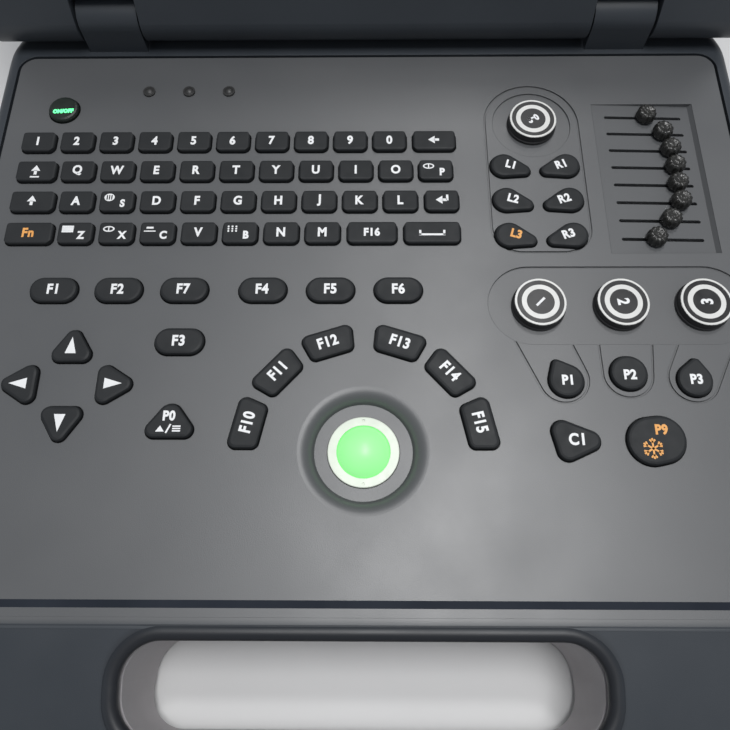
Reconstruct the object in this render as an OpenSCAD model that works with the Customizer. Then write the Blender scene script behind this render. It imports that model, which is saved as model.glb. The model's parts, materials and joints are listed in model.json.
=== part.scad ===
// Portable colour Doppler ultrasound scanner: a briefcase base with a control
// deck and a carry handle, and a hinged display lid, shown open.
// Plan positions are measured from the trackball centre: X to the right,
// Y to the rear. Heights are measured up from the table.

/* [Base case] */
// Width of the base case
body_w = 375; // [368:1:400]
// Reach from the trackball centre to the rear edge of the case
rear_reach = 238; // [236:1:250]
// Height of the deck surface
deck_z = 58; // [56:1:66]
// Height of the parting line between the two case halves
part_z = 32; // [30:1:34]
// Height of the rubber feet
foot_h = 3; // [2:0.5:5]
// Thickness of the moulded walls
wall = 2.5; // [2:0.1:3]
// Plan radius of the case corners
corner_r = 30; // [24:1:36]
// Radius of the top edge of the case
top_edge_r = 8; // [5:0.5:8.5]
// Radius of the bottom edge of the case
base_edge_r = 9; // [6:0.5:11]

/* [Carry handle] */
// Land between the deck panel and the handle opening
grip_land = 6.5; // [5.5:0.1:9]
// Length of the handle opening
grip_w = 182; // [160:1:200]
// Width of the handle opening, front to rear
grip_d = 36; // [32:1:44]
// Corner radius of the handle opening
grip_r = 16; // [10:1:16]
// Width of the handle bar, front to rear
grip_bar = 25.5; // [22:0.5:32]
// Radius of the rounded front of the handle bar
nose_r = 16; // [12:0.5:17]
// Thickness of the liner inside the handle opening
liner_t = 2.2; // [1.6:0.1:3]
// Radius of the rolled rim round the handle opening
rim_r = 3.2; // [2.4:0.1:4]

/* [Deck panel] */
// Width of the case rim beside the deck panel
rim_w = 9.5; // [9:0.1:12]
// Reach from the trackball centre to the front edge of the deck panel
deck_front = 66; // [64:1:74]
// Width of the case behind the deck panel
rear_rim = 31; // [30:1:34]
// Thickness of the deck panel
deck_t = 2.5; // [2:0.1:3]
// Gap round the deck panel
seam = 1.2; // [0.6:0.1:1.5]
// Width of the ledge that carries the deck panel
ledge = 6; // [4:0.5:8]
// Corner radius of the deck panel
deck_corner_r = 8; // [6:0.5:12]
// Distance from the front edge of the panel to its front groove
front_groove_in = 5; // [4:0.5:8]
// Width of the front groove
front_groove_w = 2.2; // [1.6:0.1:3]
// Depth of the decorative grooves
groove_d = 0.8; // [0.4:0.1:1.2]
// Width of the decorative grooves
groove_w = 0.9; // [0.6:0.1:1.4]

/* [Keys] */
// Centre distance of neighbouring keyboard keys
key_pitch = 19.05; // [18.5:0.05:19.5]
// Centre distance of the keyboard rows
row_pitch = 17.15; // [16.5:0.05:18]
// Width of a letter key
key_w = 16.2; // [15:0.1:16.8]
// Front-to-rear size of a keyboard key
key_d = 11.2; // [10:0.1:12.5]
// Corner radius of a keyboard key
key_r = 3; // [2:0.1:4]
// Height of a key above the deck
key_h = 2.3; // [1.8:0.1:3]
// Radius of the rounded top edge of a key
key_edge_r = 1.1; // [0.6:0.1:1.4]
// Travel of a key
key_travel = 1; // [0.6:0.1:1.4]
// Gap between a key and its hole
key_gap = 0.5; // [0.4:0.05:0.7]
// Length of a mode key
pill_w = 21.4; // [20:0.1:24]
// Front-to-rear size of a mode key
pill_d = 12.2; // [11:0.1:14]
// Radius of the arc of keys round the trackball
arc_r = 49; // [47:0.5:52]
// Radius of the power key
power_r = 7.4; // [6:0.1:8]

/* [Trackball] */
// Radius of the trackball
ball_r = 12.7; // [12:0.1:13.5]
// Radius of the dish round the trackball, at the deck
dish_r = 27.3; // [26:0.1:30]
// Radius of the flat floor of the dish
dish_floor_r = 20.3; // [19:0.1:21.5]
// Depth of the dish
dish_depth = 5; // [4:0.1:6]
// Outer radius of the trackball ring
ring_r = 15; // [14.5:0.1:16]
// Inner radius of the trackball ring
ring_in_r = 11.1; // [10.6:0.1:11.4]

/* [Knobs] */
// Top radius of a knob
knob_r = 11.4; // [10:0.1:12]
// Height of a knob above the deck
knob_h = 4.3; // [3:0.1:5]
// Distance between the centres of the mode knobs
knob_pitch = 36; // [34:0.5:38]
// Radius of a knob shaft
shaft_r = 3; // [2.5:0.1:3.5]
// Radius of the round groove at the adjusting knob
dial_r = 19.1; // [17:0.1:20]

/* [Gain sliders] */
// Distance between the gain sliders
slide_pitch = 9.88; // [9.6:0.02:10.4]
// Length of a slider slot
slot_l = 38.2; // [36:0.1:40]
// Width of a slider slot
slot_w = 1.6; // [1.4:0.1:2]
// Travel of a slider to each side of the middle of its slot
slide_half = 15; // [12:0.5:15.5]
// Radius of a slider cap
cap_r = 4.4; // [4:0.1:4.5]
// Height of a slider cap
cap_h = 5.1; // [4:0.1:5.5]

/* [Display lid] */
// Thickness of the lid
lid_t = 24; // [22:1:28]
// Gap between the closed lid and the deck
lid_gap = 1.2; // [1:0.1:2]
// Angle of the lid from closed, as shown
lid_open = 110; // [95:1:125]
// Plan radius of the lid's free corners
lid_corner_r = 20; // [12:1:28]
// Radius of the lid's outer edge
lid_edge_r = 5; // [3:0.5:7]
// Distance from the hinge axis to the rear edge of the case
hinge_back = 16; // [15:0.5:18]
// Distance of each hinge from the middle
hinge_x = 128; // [110:1:140]
// Width of each hinge ear
ear_w = 30; // [24:1:36]
// Radius of the hinge pins
pin_r = 3; // [2.5:0.1:4]
// Depth of the screen recess inside the lid's lip
lip_h = 5; // [4.6:0.1:5.5]
// Width of the visible screen
screen_w = 306; // [290:1:316]
// Height of the visible screen
screen_h = 230; // [216:1:236]

/* [Inside and ports] */
// Width of the side window for the probe sockets
probe_win = 132; // [128:1:140]
// Length of the mouth of one probe socket
probe_mouth = 46; // [40:1:48]
// Width of the rear connector window
port_win = 150; // [146:1:160]
// Side of the cooling fan frame
fan_side = 35; // [30:1:36]
// Thickness of the cooling fan
fan_t = 10; // [10:1:15]

/* [Hidden] */
$fn = 48;
eps = 0.01;
inset = 0.01;             // keeps an outline's corners just inside its circles
fit = 0.2;              // gap between fitted fixed pieces
run_fit = 0.05;         // radial clearance of a shaft in its bore

// plan of the base
opening_rear = -(deck_front + grip_land);
opening_mid = opening_rear - grip_d / 2;
front_reach = -opening_rear + grip_d + grip_bar;
body_d = rear_reach + front_reach;
body_mid = (rear_reach - front_reach) / 2;
deck_w = body_w - 2 * rim_w;
deck_rear = rear_reach - rear_rim;
deck_d = deck_rear + deck_front;
deck_mid = (deck_rear - deck_front) / 2;
cavity_front = opening_rear + liner_t + 3;
cavity_d = rear_reach - wall - cavity_front;
cavity_mid = (rear_reach - wall + cavity_front) / 2;
cavity_top = deck_z - deck_t - wall;
floor_z = foot_h + wall;
side_in = body_w / 2 - wall;

// side view of the carry handle
slope_y = -deck_front - seam;
under_y = slope_y - 17;
nose_y = -front_reach + nose_r;
nose_z = part_z - 1;
slope_top = tangent([slope_y, deck_z], [nose_y, nose_z], nose_r - inset, 1);
slope_tilt = atan2(deck_z - slope_top[1], slope_y - slope_top[0]);
rim_up = 1.2;            // height of the rolled rim above the slope
rim_tight = 0.5;         // the rim's corners are a little tighter than the opening's
liner_drop = (2 * rim_r - rim_up) / cos(slope_tilt) + fit;

// lid
hinge_y = rear_reach - hinge_back;
barrel_r = lid_t / 2;
lid_z = deck_z + lid_gap;
hinge_z = lid_z + barrel_r;
ear_r = barrel_r - 1;
lid_front = -deck_front;
lid_len = hinge_y - lid_front;
lid_wall = 2.4;
bezel_t = 2.5;
bezel_z = lid_z + lip_h;
screen_mid = (hinge_y - barrel_r + lid_front) / 2 - 2;
lcd_z = bezel_z + bezel_t + fit;
lcd_t = 8.5;
lcd_margin = 7;
lid_rear_y = hinge_y + lid_len * -cos(lid_open) + barrel_r * sin(lid_open);
ball_y = -(lid_rear_y - front_reach) / 2;

// keyboard: letter keys run right from a first key, wide keys stand at both ends
board_x = -140.5;
board_y = 152.8;
row_start = [-key_pitch, 2.9, 4.9, 6.9];
row_letters = [10, 10, 9, 7];
row_left = [0, 19, 20.8, 22.1];
row_right = [[20.6], [], [15.9], [22.8, 25.9]];
left_gap = 2.4;
right_gap = 3.3;
rows = 4;
key_low = deck_t + 0.4;
flange_t = 1;
flange_out = 1.1;
post_end = key_low + flange_t + 1.8;
sheet_top = post_end + key_travel + 0.3;
sheet_t = 1;
pcb_t = 1.6;
pcb_top = sheet_top + sheet_t;

// function keys
pill_y = 72.3;
pill_x = [-139, -109.9, -80.4, -45.3, -15, 15.2];
report_at = [-80.1, 47.4];
probe_at = [-80.5, 11];
arrow_at = [-126.2, 27.8];
arrow_x = 20;
arrow_y = 17.1;
arc_step = 30;
arc_first = 12.2;
cine_at = [86.1, 3.9];
freeze_at = [119.6, 3.6];
option_at = [[84.8, 30.6], [112.2, 32.9], [139.6, 30.8]];
adjust_x = [69.4, 93.3];
adjust_y = [137.7, 118.6, 99.6];
power_at = [-150.6, 172.8];
lamp_at = [-109.3, 184.4];
lamp_pitch = 20.2;
lamp_r = 3;

// outlines of the function keys: centres and radii
arrow_pts = [[0, 4.4], [-4.9, -3.6], [4.9, -3.6]];
arrow_rs = [3.4, 3.6, 3.6];
pill_half = (pill_w - pill_d) / 2;
pill_pts = [[-pill_half, 0], [pill_half, 0]];
pill_rs = [pill_d / 2, pill_d / 2];
arc_pts = [[7.9, 3], [-7.9, 3], [-6.9, -3.2], [6.9, -3.2]];
arc_rs = [3.2, 3.2, 2.9, 2.9];
adjust_pts = [[-2.9, 0.6], [6.6, -2.2]];
adjust_rs = [6.4, 2.9];
option_pts = [[[0.8, -1], [-2.6, 6.2]], [[-0.2, 0], [0.2, 0]], [[0, -1], [1.2, 6.4]]];
option_rs = [[7.4, 2.2], [7.6, 7.6], [7.3, 2.3]];
cine_pts = [[-4.2, 3.6], [-2.6, -4.4], [6.6, -0.4]];
cine_rs = [4.6, 4.4, 4.2];
freeze_pts = [[-1.8, -0.2], [2.2, 0.5]];
freeze_rs = [10.1, 9.9];
probe_pts = [[0, 3], [-6.3, -3], [6.3, -3]];
probe_rs = [5, 3.6, 3.6];
power_pts = [[-0.1, 0], [0.1, 0]];
power_rs = [power_r - 0.1, power_r - 0.1];

// knobs and sliders
knob_first = [77, 64.8];
adjust_knob_at = [81.8, 163.4];
knob_gap = 0.6;
race_d = 38;
race_l = 2 * knob_pitch + 44;
race_mid = [knob_first[0] + knob_pitch - 0.2, 65.4];
race_depth = 0.9;
hole_r = shaft_r + 0.8;
group_w = 46.6;
group_top = adjust_knob_at[1] + 24;
group_bottom = 91.4;
group_r = 13;
slides = 8;
slide_x = 137.4;
slide_y = 168;
slide_rest = [0.8, 7.6, 9.9, 10.6, 10.3, 10.3, 4.2, -3.8];
tray_w = 49.8;
tray_over = 7.4;
tray_left = 0.4;
tray_right = 2;
tray_drop = 2;
shaft_end = pcb_top - 1;
cap_gap = 0.35;         // gap under a slider cap, over the shallow edge of the tray
cap_foot = 1.4;
cap_rib = 0.4;
cap_dome = 6;
stem_t = 0.8;
stem_l = 4;
pot_t = 7;
pot_w = 8.2;
pot_floor = 1.6;
pot_top = deck_t + tray_drop + fit;
stem_end = pot_top + pot_t - pot_floor - tray_left + cap_gap - 0.9;

// trackball
ring_z = deck_z - dish_depth + 1;
ball_z = ring_z - sqrt(ball_r * ball_r - pow(ring_in_r - 0.4, 2));
dish_wall = 1.5;
cup_r = 18.5;
cup_top = ring_z - 1 - wall;
cup_bottom = ball_z - ball_r - 3;

// ports
probe_y = 118;
middle_z = (floor_z + cavity_top) / 2 + 0.5;
probe_h = 34;
probe_pitch = probe_win / 2;
port_x = -70;
port_h = 34;
fan_y = 150;
speaker_x = 135;
speaker_y = -38;
board_z = floor_z + 5;
board_lo = [-55, 20];
board_w = 190;
board_d = 178;
psu_lo = [-170, 10];
psu_w = 100;
psu_d = 100;
psu_h = 30;
battery_lo = [-55, -52];
screw_mid = 36;
vent_w = 3;
vent_pitch = 6;
bore_r = fan_side / 2 - 1.2;

// Ends of the outer tangent on the right-hand side of the way from circle p to circle q
function flank(p, q, r1, r2) =
  let (a = atan2(q[1] - p[1], q[0] - p[0]) - acos((r1 - r2) / norm(q - p)))
  [p + r1 * [cos(a), sin(a)], q + r2 * [cos(a), sin(a)]];

// Tangent point on a circle, seen from point p
function tangent(p, c, r, side) =
  let (v = p - c, a = atan2(v[1], v[0]) + side * acos(r / norm(v)))
  c + r * [cos(a), sin(a)];

// ---- shapes that repeat ----

// Rounded rectangle, centred
module slab2(w, d, r) {
  square([w - 2 * r, d], center = true);
  square([w, d - 2 * r], center = true);
  for (x = [-1, 1], y = [-1, 1])
    translate([x * (w / 2 - r), y * (d / 2 - r)]) circle(r);
}

// Convex outline round several circles, grown by g
module blob2(pts, rs, g = 0) {
  n = len(pts);
  for (i = [0 : n - 1]) translate(pts[i]) circle(rs[i] + g);
  in = g - inset;
  polygon([for (i = [0 : n - 1], p = flank(pts[i], pts[(i + 1) % n], rs[i] + in, rs[(i + 1) % n] + in)) p]);
}

// Section from the corner axis outwards, with rounded outer corners
module edge2(r, z0, z1, rt, rb) {
  translate([0, z0 + rb]) square([r, z1 - z0 - rt - rb]);
  translate([0, z0]) square([r - max(rt, rb), z1 - z0]);
  translate([0, z1 - rt - eps]) square([r - rt, rt + eps]);
  translate([0, z0]) square([r - rb, rb + eps]);
  if (rt > 0) translate([r - rt, z1 - rt]) circle(rt);
  if (rb > 0) translate([r - rb, z0 + rb]) circle(rb);
}

// Rounded slab with rounded top and bottom edges, centred in plan
module soft_slab(w, d, r, z0, z1, rt, rb) {
  translate([-(w / 2 - r), -(d / 2 - r), z0]) cube([w - 2 * r, d - 2 * r, z1 - z0]);
  for (s = [-1, 1]) {
    translate([0, s * (d / 2 - r), 0]) mirror([0, s < 0 ? 1 : 0, 0])
      rotate([90, 0, 90]) linear_extrude(w - 2 * r, center = true) edge2(r, z0, z1, rt, rb);
    translate([s * (w / 2 - r), 0, 0]) mirror([s < 0 ? 1 : 0, 0, 0])
      rotate([90, 0, 0]) linear_extrude(d - 2 * r, center = true) edge2(r, z0, z1, rt, rb);
  }
  for (q = [0 : 3])
    translate([(q == 0 || q == 3 ? 1 : -1) * (w / 2 - r), (q < 2 ? 1 : -1) * (d / 2 - r), 0])
      rotate(90 * q) rotate_extrude(angle = 90) edge2(r, z0, z1, rt, rb);
}

// Extrudes a side view, drawn as (Y, Z), across the width
module across(w) rotate([90, 0, 90]) linear_extrude(w, center = true) children();

// Carries the lid from closed to its open angle
module lid_pose()
  translate([0, hinge_y, hinge_z]) rotate([-lid_open, 0, 0])
    translate([0, -hinge_y, -hinge_z]) children();

// ---- the case ----

module side_form() {
  low = tangent([under_y, foot_h], [nose_y, nose_z], nose_r - inset, -1);
  across(body_w + 2) {
    polygon([[rear_reach + 1, foot_h], [rear_reach + 1, deck_z], [slope_y, deck_z],
             slope_top, [nose_y, nose_z], low, [under_y, foot_h]]);
    translate([nose_y, nose_z]) circle(nose_r);
  }
}

module case_form(z0, z1, rt, rb)
  intersection() {
    translate([0, body_mid, 0]) soft_slab(body_w, body_d, corner_r, z0, z1, rt, rb);
    side_form();
  }

module grip_hole(g)
  translate([0, opening_mid, 0]) linear_extrude(deck_z + 20)
    slab2(grip_w + 2 * g, grip_d + 2 * g, grip_r + g);

// Hollow stretches of the handle's two shoulders
module grip_pockets(z0, z1) {
  inner = grip_w / 2 + liner_t + 3;
  w = body_w / 2 - corner_r - inner + 8;
  for (s = [-1, 1])
    translate([s * (inner + w / 2), opening_mid + 2, z0])
      linear_extrude(z1 - z0) slab2(w, grip_d + 8, 5);
}

module ports_cut() {
  translate([side_in - 15, probe_y - probe_win / 2, middle_z - probe_h / 2])
    cube([30, probe_win, probe_h]);
  translate([port_x - port_win / 2, rear_reach - 12, middle_z - port_h / 2])
    cube([port_win, 30, port_h]);
}

module vents_cut() {
  slots = floor(2 * (bore_r - 2) / vent_pitch / 2);
  for (i = [-slots : slots])
    translate([-body_w / 2, fan_y + i * vent_pitch, middle_z])
      cube([20, vent_w, 2 * sqrt(pow(bore_r - 1, 2) - pow(i * vent_pitch, 2))], center = true);
}

function board_points() = [
  for (x = [8, board_w - 8], y = [8, board_d - 8]) [board_lo[0] + x, board_lo[1] + y]
];

function screw_points() = [
  for (x = [-1, 1]) for (y = [cavity_front + 9, screw_mid, rear_reach - 14]) [x * (side_in - 9), y],
  [-52, cavity_front + 9], [52, cavity_front + 9]
];

module top_case() color([0.24, 0.26, 0.28]) {
  top_shell();
  grip_rim();
}

module top_shell() difference() {
  union() {
    difference() {
      case_form(part_z, deck_z, top_edge_r, 0);
      translate([0, cavity_mid, 0])
        soft_slab(2 * side_in, cavity_d, corner_r - wall, part_z - 1, cavity_top, 3, 0);
      grip_pockets(part_z - 1, part_z + 11);
    }
    for (s = [-1, 1]) hinge_ear(s * hinge_x);
    for (p = screw_points()) translate([p[0], p[1], part_z]) cylinder(r = 4, h = cavity_top - part_z + 1);
  }
  // seat and window of the deck panel
  translate([0, deck_mid, deck_z - deck_t]) linear_extrude(deck_t + 1)
    slab2(deck_w + 2 * seam, deck_d + 2 * seam, deck_corner_r + seam);
  translate([0, deck_mid, deck_z - 3 * wall]) linear_extrude(3 * wall + 1)
    slab2(deck_w - 2 * ledge, deck_d - 2 * ledge, deck_corner_r);
  grip_hole(liner_t + fit / 2);
  ports_cut();
  vents_cut();
  for (p = screw_points()) translate([p[0], p[1], part_z - 1]) cylinder(r = 1.5, h = 12);
  for (s = [-1, 1]) translate([s * hinge_x, hinge_y, hinge_z]) rotate([0, 90, 0])
    cylinder(r = pin_r + run_fit, h = ear_w + 2, center = true);
}

// Ear that stands on the case and carries a hinge pin
module hinge_ear(x)
  translate([x, 0, 0]) across(ear_w) {
    translate([hinge_y, hinge_z]) circle(ear_r);
    translate([hinge_y - ear_r, deck_z - 1]) square([2 * ear_r, hinge_z - deck_z + 1]);
  }

// Bead round the handle opening, tilted to the slope of the handle
module grip_rim() {
  r = rim_r;
  w = grip_w + 2 * r;
  d = grip_d + 2 * r;
  c = grip_r + r - rim_tight;
  surface = deck_z - (slope_y - opening_mid) * tan(slope_tilt);
  translate([0, opening_mid, surface - (r - rim_up) / cos(slope_tilt)]) rotate([slope_tilt, 0, 0]) {
    for (s = [-1, 1]) {
      translate([0, s * d / 2, 0]) rotate([0, 90, 0]) cylinder(r = r, h = w - 2 * c, center = true);
      translate([s * w / 2, 0, 0]) rotate([90, 0, 0]) cylinder(r = r, h = d - 2 * c, center = true);
    }
    for (q = [0 : 3])
      translate([(q == 0 || q == 3 ? 1 : -1) * (w / 2 - c), (q < 2 ? 1 : -1) * (d / 2 - c), 0])
        rotate(90 * q) rotate_extrude(angle = 90) translate([c, 0]) circle(r);
  }
}

module grip_liner_form(g)
  intersection() {
    grip_hole(g);
    side_form();
    translate([0, 0, -liner_drop]) side_form();
  }

module bottom_case() color([0.72, 0.71, 0.7]) difference() {
  union() {
    difference() {
      case_form(foot_h, part_z, 0.8, base_edge_r);
      translate([0, cavity_mid, 0])
        soft_slab(2 * side_in, cavity_d, corner_r - wall, floor_z, part_z + 1, 0, base_edge_r - wall);
      grip_pockets(part_z - 13, part_z + 1);
    }
    for (p = screw_points()) translate([p[0], p[1], foot_h + 1]) cylinder(r = 4.5, h = part_z - foot_h - 1);
    for (p = board_points()) translate([p[0], p[1], floor_z - 1]) cylinder(r = 3.5, h = board_z - floor_z + 1);
    for (y = [-1, 1])
      translate([-side_in - 1, fan_y + y * 12 - 1.5, floor_z - 1])
        cube([fan_t + 2, 3, middle_z - fan_side / 2 - floor_z + 1 - fit]);
  }
  grip_hole(liner_t + fit / 2);
  ports_cut();
  vents_cut();
  for (p = screw_points()) translate([p[0], p[1], foot_h - 1]) {
    cylinder(r = 1.7, h = part_z);
    cylinder(r = 3.2, h = 4.5);
  }
  for (i = [-5 : 5]) translate([40 + i * 9, 190, foot_h - 1]) linear_extrude(wall + 2) slab2(3, 50, 1.4);
  for (s = [-1, 1], i = [-2 : 2])
    translate([s * speaker_x + i * 6, speaker_y, foot_h - 1]) linear_extrude(wall + 2)
      slab2(2.6, 26 - 3 * abs(i), 1.2);
}

module handle_liner() color([0.66, 0.63, 0.63]) difference() {
  grip_liner_form(liner_t);
  grip_hole(0);
}

module rubber_feet() color([0.12, 0.12, 0.12])
  for (x = [-1, 1], y = [0, deck_rear - 12])
    translate([x * (body_w / 2 - 40), y == 0 ? under_y + 22 : y, 0]) rotate_extrude() {
      square([8, foot_h]);
      translate([0, foot_h - 1]) square([10, 1]);
      translate([8, 1]) square([1, foot_h - 1]);
      translate([8, 1]) circle(1);
    }

module case_screws() color([0.5, 0.5, 0.52])
  for (p = screw_points()) translate([p[0], p[1], 0]) {
    difference() {
      translate([0, 0, foot_h + 3.5 - 2.2]) cylinder(r = 2.9, h = 2.2);
      translate([0, 0, foot_h + 1.2]) cylinder(r = 1.3, h = 1.3, $fn = 6);
    }
    translate([0, 0, foot_h + 3.4]) cylinder(r = 1.45, h = part_z - foot_h + 6);
  }

// ---- the deck ----

module deck_panel() color([0.42, 0.43, 0.44]) difference() {
  union() {
    translate([0, deck_mid, 0]) soft_slab(deck_w, deck_d, deck_corner_r, deck_z - deck_t, deck_z, 0.6, 0);
    translate([0, 0, ring_z - 1 - wall]) cylinder(r = dish_r + dish_wall, h = dish_depth + wall - 1);
    tray_block(tray_w + 3, slides * slide_pitch + 8, deck_t + tray_drop);
    for (p = stud_points()) translate([p[0], p[1], deck_z - pcb_top]) cylinder(r = 3, h = pcb_top - 1);
  }
  translate([0, 0, deck_z]) {
    // front groove and the grooves round the control groups
    translate([-deck_w, -deck_front + front_groove_in, -2 * groove_d]) cube([2 * deck_w, front_groove_w, 5]);
    translate([0, 0, -groove_d]) linear_extrude(5) difference() {
      group2(0);
      group2(-groove_w);
    }
    translate([adjust_knob_at[0], adjust_knob_at[1], -groove_d]) cylinder(r = dial_r, h = 5);
    translate([race_mid[0], race_mid[1], -race_depth]) linear_extrude(5) slab2(race_l, race_d, race_d / 2 - eps);
    for (i = [0 : 2]) translate([0, 0, -groove_d]) linear_extrude(5) difference() {
      tab2(i, 0);
      tab2(i, -groove_w);
    }
    // slider tray with its sloped floor, and the slots
    translate([slide_x, slide_y - (slides - 1) * slide_pitch / 2, 0]) rotate([90, 0, 0])
      linear_extrude(slides * slide_pitch + tray_over - 2, center = true)
        polygon([[-tray_w / 2, 1], [-tray_w / 2, -tray_left], [tray_w / 2 - 1.6, -tray_right],
                 [tray_w / 2, -0.2], [tray_w / 2, 1]]);
    for (i = [0 : slides - 1]) translate([slide_x, slide_y - i * slide_pitch, -10])
      linear_extrude(20) slab2(slot_l, slot_w, slot_w / 2 - eps);
    // dish of the trackball
    translate([0, 0, -dish_depth]) rotate_extrude() difference() {
      square([dish_r, dish_depth + 1]);
      translate([dish_r, dish_depth - (dish_r - dish_floor_r)]) circle(dish_r - dish_floor_r);
    }
    translate([0, 0, -20]) cylinder(r = ring_r + fit, h = 20);
    // holes
    for (p = knob_points()) translate([p[0], p[1], -5]) cylinder(r = hole_r, h = 10);
    for (i = [0 : 2]) translate([lamp_at[0] + i * lamp_pitch, lamp_at[1], -5]) cylinder(r = lamp_r - 0.8, h = 10);
    translate([0, 0, -5]) linear_extrude(10) {
      for (r = [0 : rows - 1], k = row_keys(r)) translate([k[0], board_y - r * row_pitch])
        slab2(k[1] + 2 * key_gap, key_d + 2 * key_gap, key_r + key_gap);
      all_keys2(key_gap);
    }
  }
}

module tray_block(w, d, t)
  translate([slide_x - w / 2, slide_y - (slides - 1) * slide_pitch / 2 - d / 2, deck_z - t]) cube([w, d, t - 1]);

// Outline of the adjusting group: a half-round end over a softer square end
module group2(g) {
  r = group_w / 2 + g;
  translate([adjust_knob_at[0], group_top - group_w / 2]) circle(r);
  h = group_top - group_w / 2 - group_bottom + g;
  translate([adjust_knob_at[0] - r, group_bottom - g + group_r]) square([2 * r, h - group_r]);
  translate([adjust_knob_at[0] - r + group_r, group_bottom - g]) square([2 * r - 2 * group_r, h]);
  for (s = [-1, 1]) translate([adjust_knob_at[0] + s * (r - group_r), group_bottom - g + group_r]) circle(group_r);
}

// Tab round one option key, hanging from the row of mode knobs
module tab2(i, g)
  hull() {
    translate(option_at[i]) circle(11 + g, $fn = 64);
    translate([knob_first[0] + i * knob_pitch, race_mid[1] - race_d / 2 + 3]) square([24 + 2 * g, 2], center = true);
  }

module trackball_housing() color([0.15, 0.15, 0.16]) difference() {
  translate([0, 0, cup_bottom]) cylinder(r = cup_r, h = cup_top - cup_bottom);
  translate([0, 0, ball_z]) {
    sphere(ball_r + 0.4);
    cylinder(r = ball_r + 0.4, h = ball_r);
  }
  for (a = [0, 120, 240]) rotate(a) translate([0, 0, cup_bottom - 1]) translate([6, 0, 0]) cylinder(r = 2, h = 3);
}

module trackball_ring() color([0.93, 0.94, 0.93]) difference() {
  translate([0, 0, cup_top]) rotate_extrude() {
    square([ring_r, ring_z - cup_top - 0.4]);
    square([ring_r - 0.4, ring_z - cup_top]);
    translate([ring_r - 0.4, ring_z - cup_top - 0.4]) circle(0.4);
  }
  translate([0, 0, ball_z]) sphere(ball_r + 0.4);
  for (a = [90, 270]) rotate(a) translate([ring_r - 1.6, 0, ring_z - 0.4]) cylinder(r = 0.5, h = 1);
}

module trackball_ball() color([0.45, 0.95, 0.5]) translate([0, 0, ball_z]) sphere(ball_r);

module indicator_lenses() color([0.08, 0.08, 0.09])
  for (i = [0 : 2]) translate([lamp_at[0] + i * lamp_pitch, lamp_at[1], deck_z]) rotate_extrude() {
    square([lamp_r, 0.9]);
    intersection() {
      translate([0, -1.1]) circle(lamp_r);
      translate([0, 0.9]) square([lamp_r, 2]);
    }
    translate([0, -deck_t - 1]) square([lamp_r - 0.9, deck_t + 1.5]);
  }

// ---- keys ----

function row_keys(r) =
  let (first = board_x + row_start[r], last = first + (row_letters[r] - 1) * key_pitch,
       l = row_left[r], right = row_right[r], end = last + key_w / 2)
  concat([for (i = [0 : row_letters[r] - 1]) [first + i * key_pitch, key_w]],
         l > 0 ? [[first - key_w / 2 - left_gap - l / 2, l]] : [],
         len(right) > 0 ? [[end + right_gap + right[0] / 2, right[0]]] : [],
         len(right) > 1 ? [[end + 2 * right_gap + right[0] + right[1] / 2, right[1]]] : []);

function arc_angle(i) = i < 3 ? arc_first + i * arc_step : 180 - arc_first - (5 - i) * arc_step;
function knob_points() = concat([adjust_knob_at], [for (i = [0 : 2]) [knob_first[0] + i * knob_pitch, knob_first[1]]]);
function stud_points() = [[-162, 56], [-60, 57], [48, 84], [-160, -6], [-102, -8], [56, -8], [164, 10],
                          [-30, 176], [-167, 182], [48, 180]];

module on_arc(i) rotate(arc_angle(i) - 90) translate([0, arc_r]) children();
module on_arrow(i) translate(arrow_at) translate([[0, arrow_y], [-arrow_x, 0], [0, -arrow_y], [arrow_x, 0]][i])
  rotate(90 * i) children();
module on_adjust(i) translate([adjust_x[i % 2], adjust_y[floor(i / 2)]]) mirror([i % 2, 0]) children();

// Plan of every function key, grown by g
module all_keys2(g) {
  for (x = pill_x) translate([x, pill_y]) blob2(pill_pts, pill_rs, g);
  translate(report_at) blob2(pill_pts, pill_rs, g);
  translate(probe_at) blob2(probe_pts, probe_rs, g);
  for (i = [0 : 3]) on_arrow(i) blob2(arrow_pts, arrow_rs, g);
  for (i = [0 : 5]) on_arc(i) blob2(arc_pts, arc_rs, g);
  for (i = [0 : 5]) on_adjust(i) blob2(adjust_pts, adjust_rs, g);
  for (i = [0 : 2]) translate(option_at[i]) blob2(option_pts[i], option_rs[i], g);
  translate(cine_at) blob2(cine_pts, cine_rs, g);
  translate(freeze_at) blob2(freeze_pts, freeze_rs, g);
  translate(power_at) blob2(power_pts, power_rs, g);
}

// Soft key with a rounded top, a retaining flange and the post that presses the contact
module soft_key(pts, rs) translate([0, 0, deck_z]) {
  hull() for (s = [[0, key_edge_r], [0.4, 0.35], [1.3, eps]])
    translate([0, 0, key_h - s[1]]) linear_extrude(eps) blob2(pts, rs, -s[0], $fn = 24);
  translate([0, 0, -key_low - flange_t / 2]) linear_extrude(key_low + flange_t / 2 + key_h - key_edge_r)
    blob2(pts, rs);
  translate([0, 0, -key_low - flange_t]) linear_extrude(flange_t) blob2(pts, rs, flange_out);
  translate([0, 0, -post_end]) cylinder(r = 2.4, h = post_end - key_low);
}

module row_of_keys(r) color([0.16, 0.17, 0.17])
  for (k = row_keys(r)) translate([k[0], board_y - r * row_pitch, deck_z]) {
    intersection() {
      translate([0, 0, -key_low - flange_t / 2]) linear_extrude(20) slab2(k[1], key_d, key_r);
      rotate([90, 0, 0]) linear_extrude(key_d + 2, center = true) crown2(k[1]);
      rotate([90, 0, 90]) linear_extrude(k[1] + 2, center = true) crown2(key_d);
    }
    translate([0, 0, -key_low - flange_t]) linear_extrude(flange_t)
      slab2(k[1] + 2 * flange_out, key_d + 2 * flange_out, key_r + flange_out);
    translate([0, 0, -post_end]) cylinder(r = 2.4, h = post_end - key_low);
  }

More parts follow.
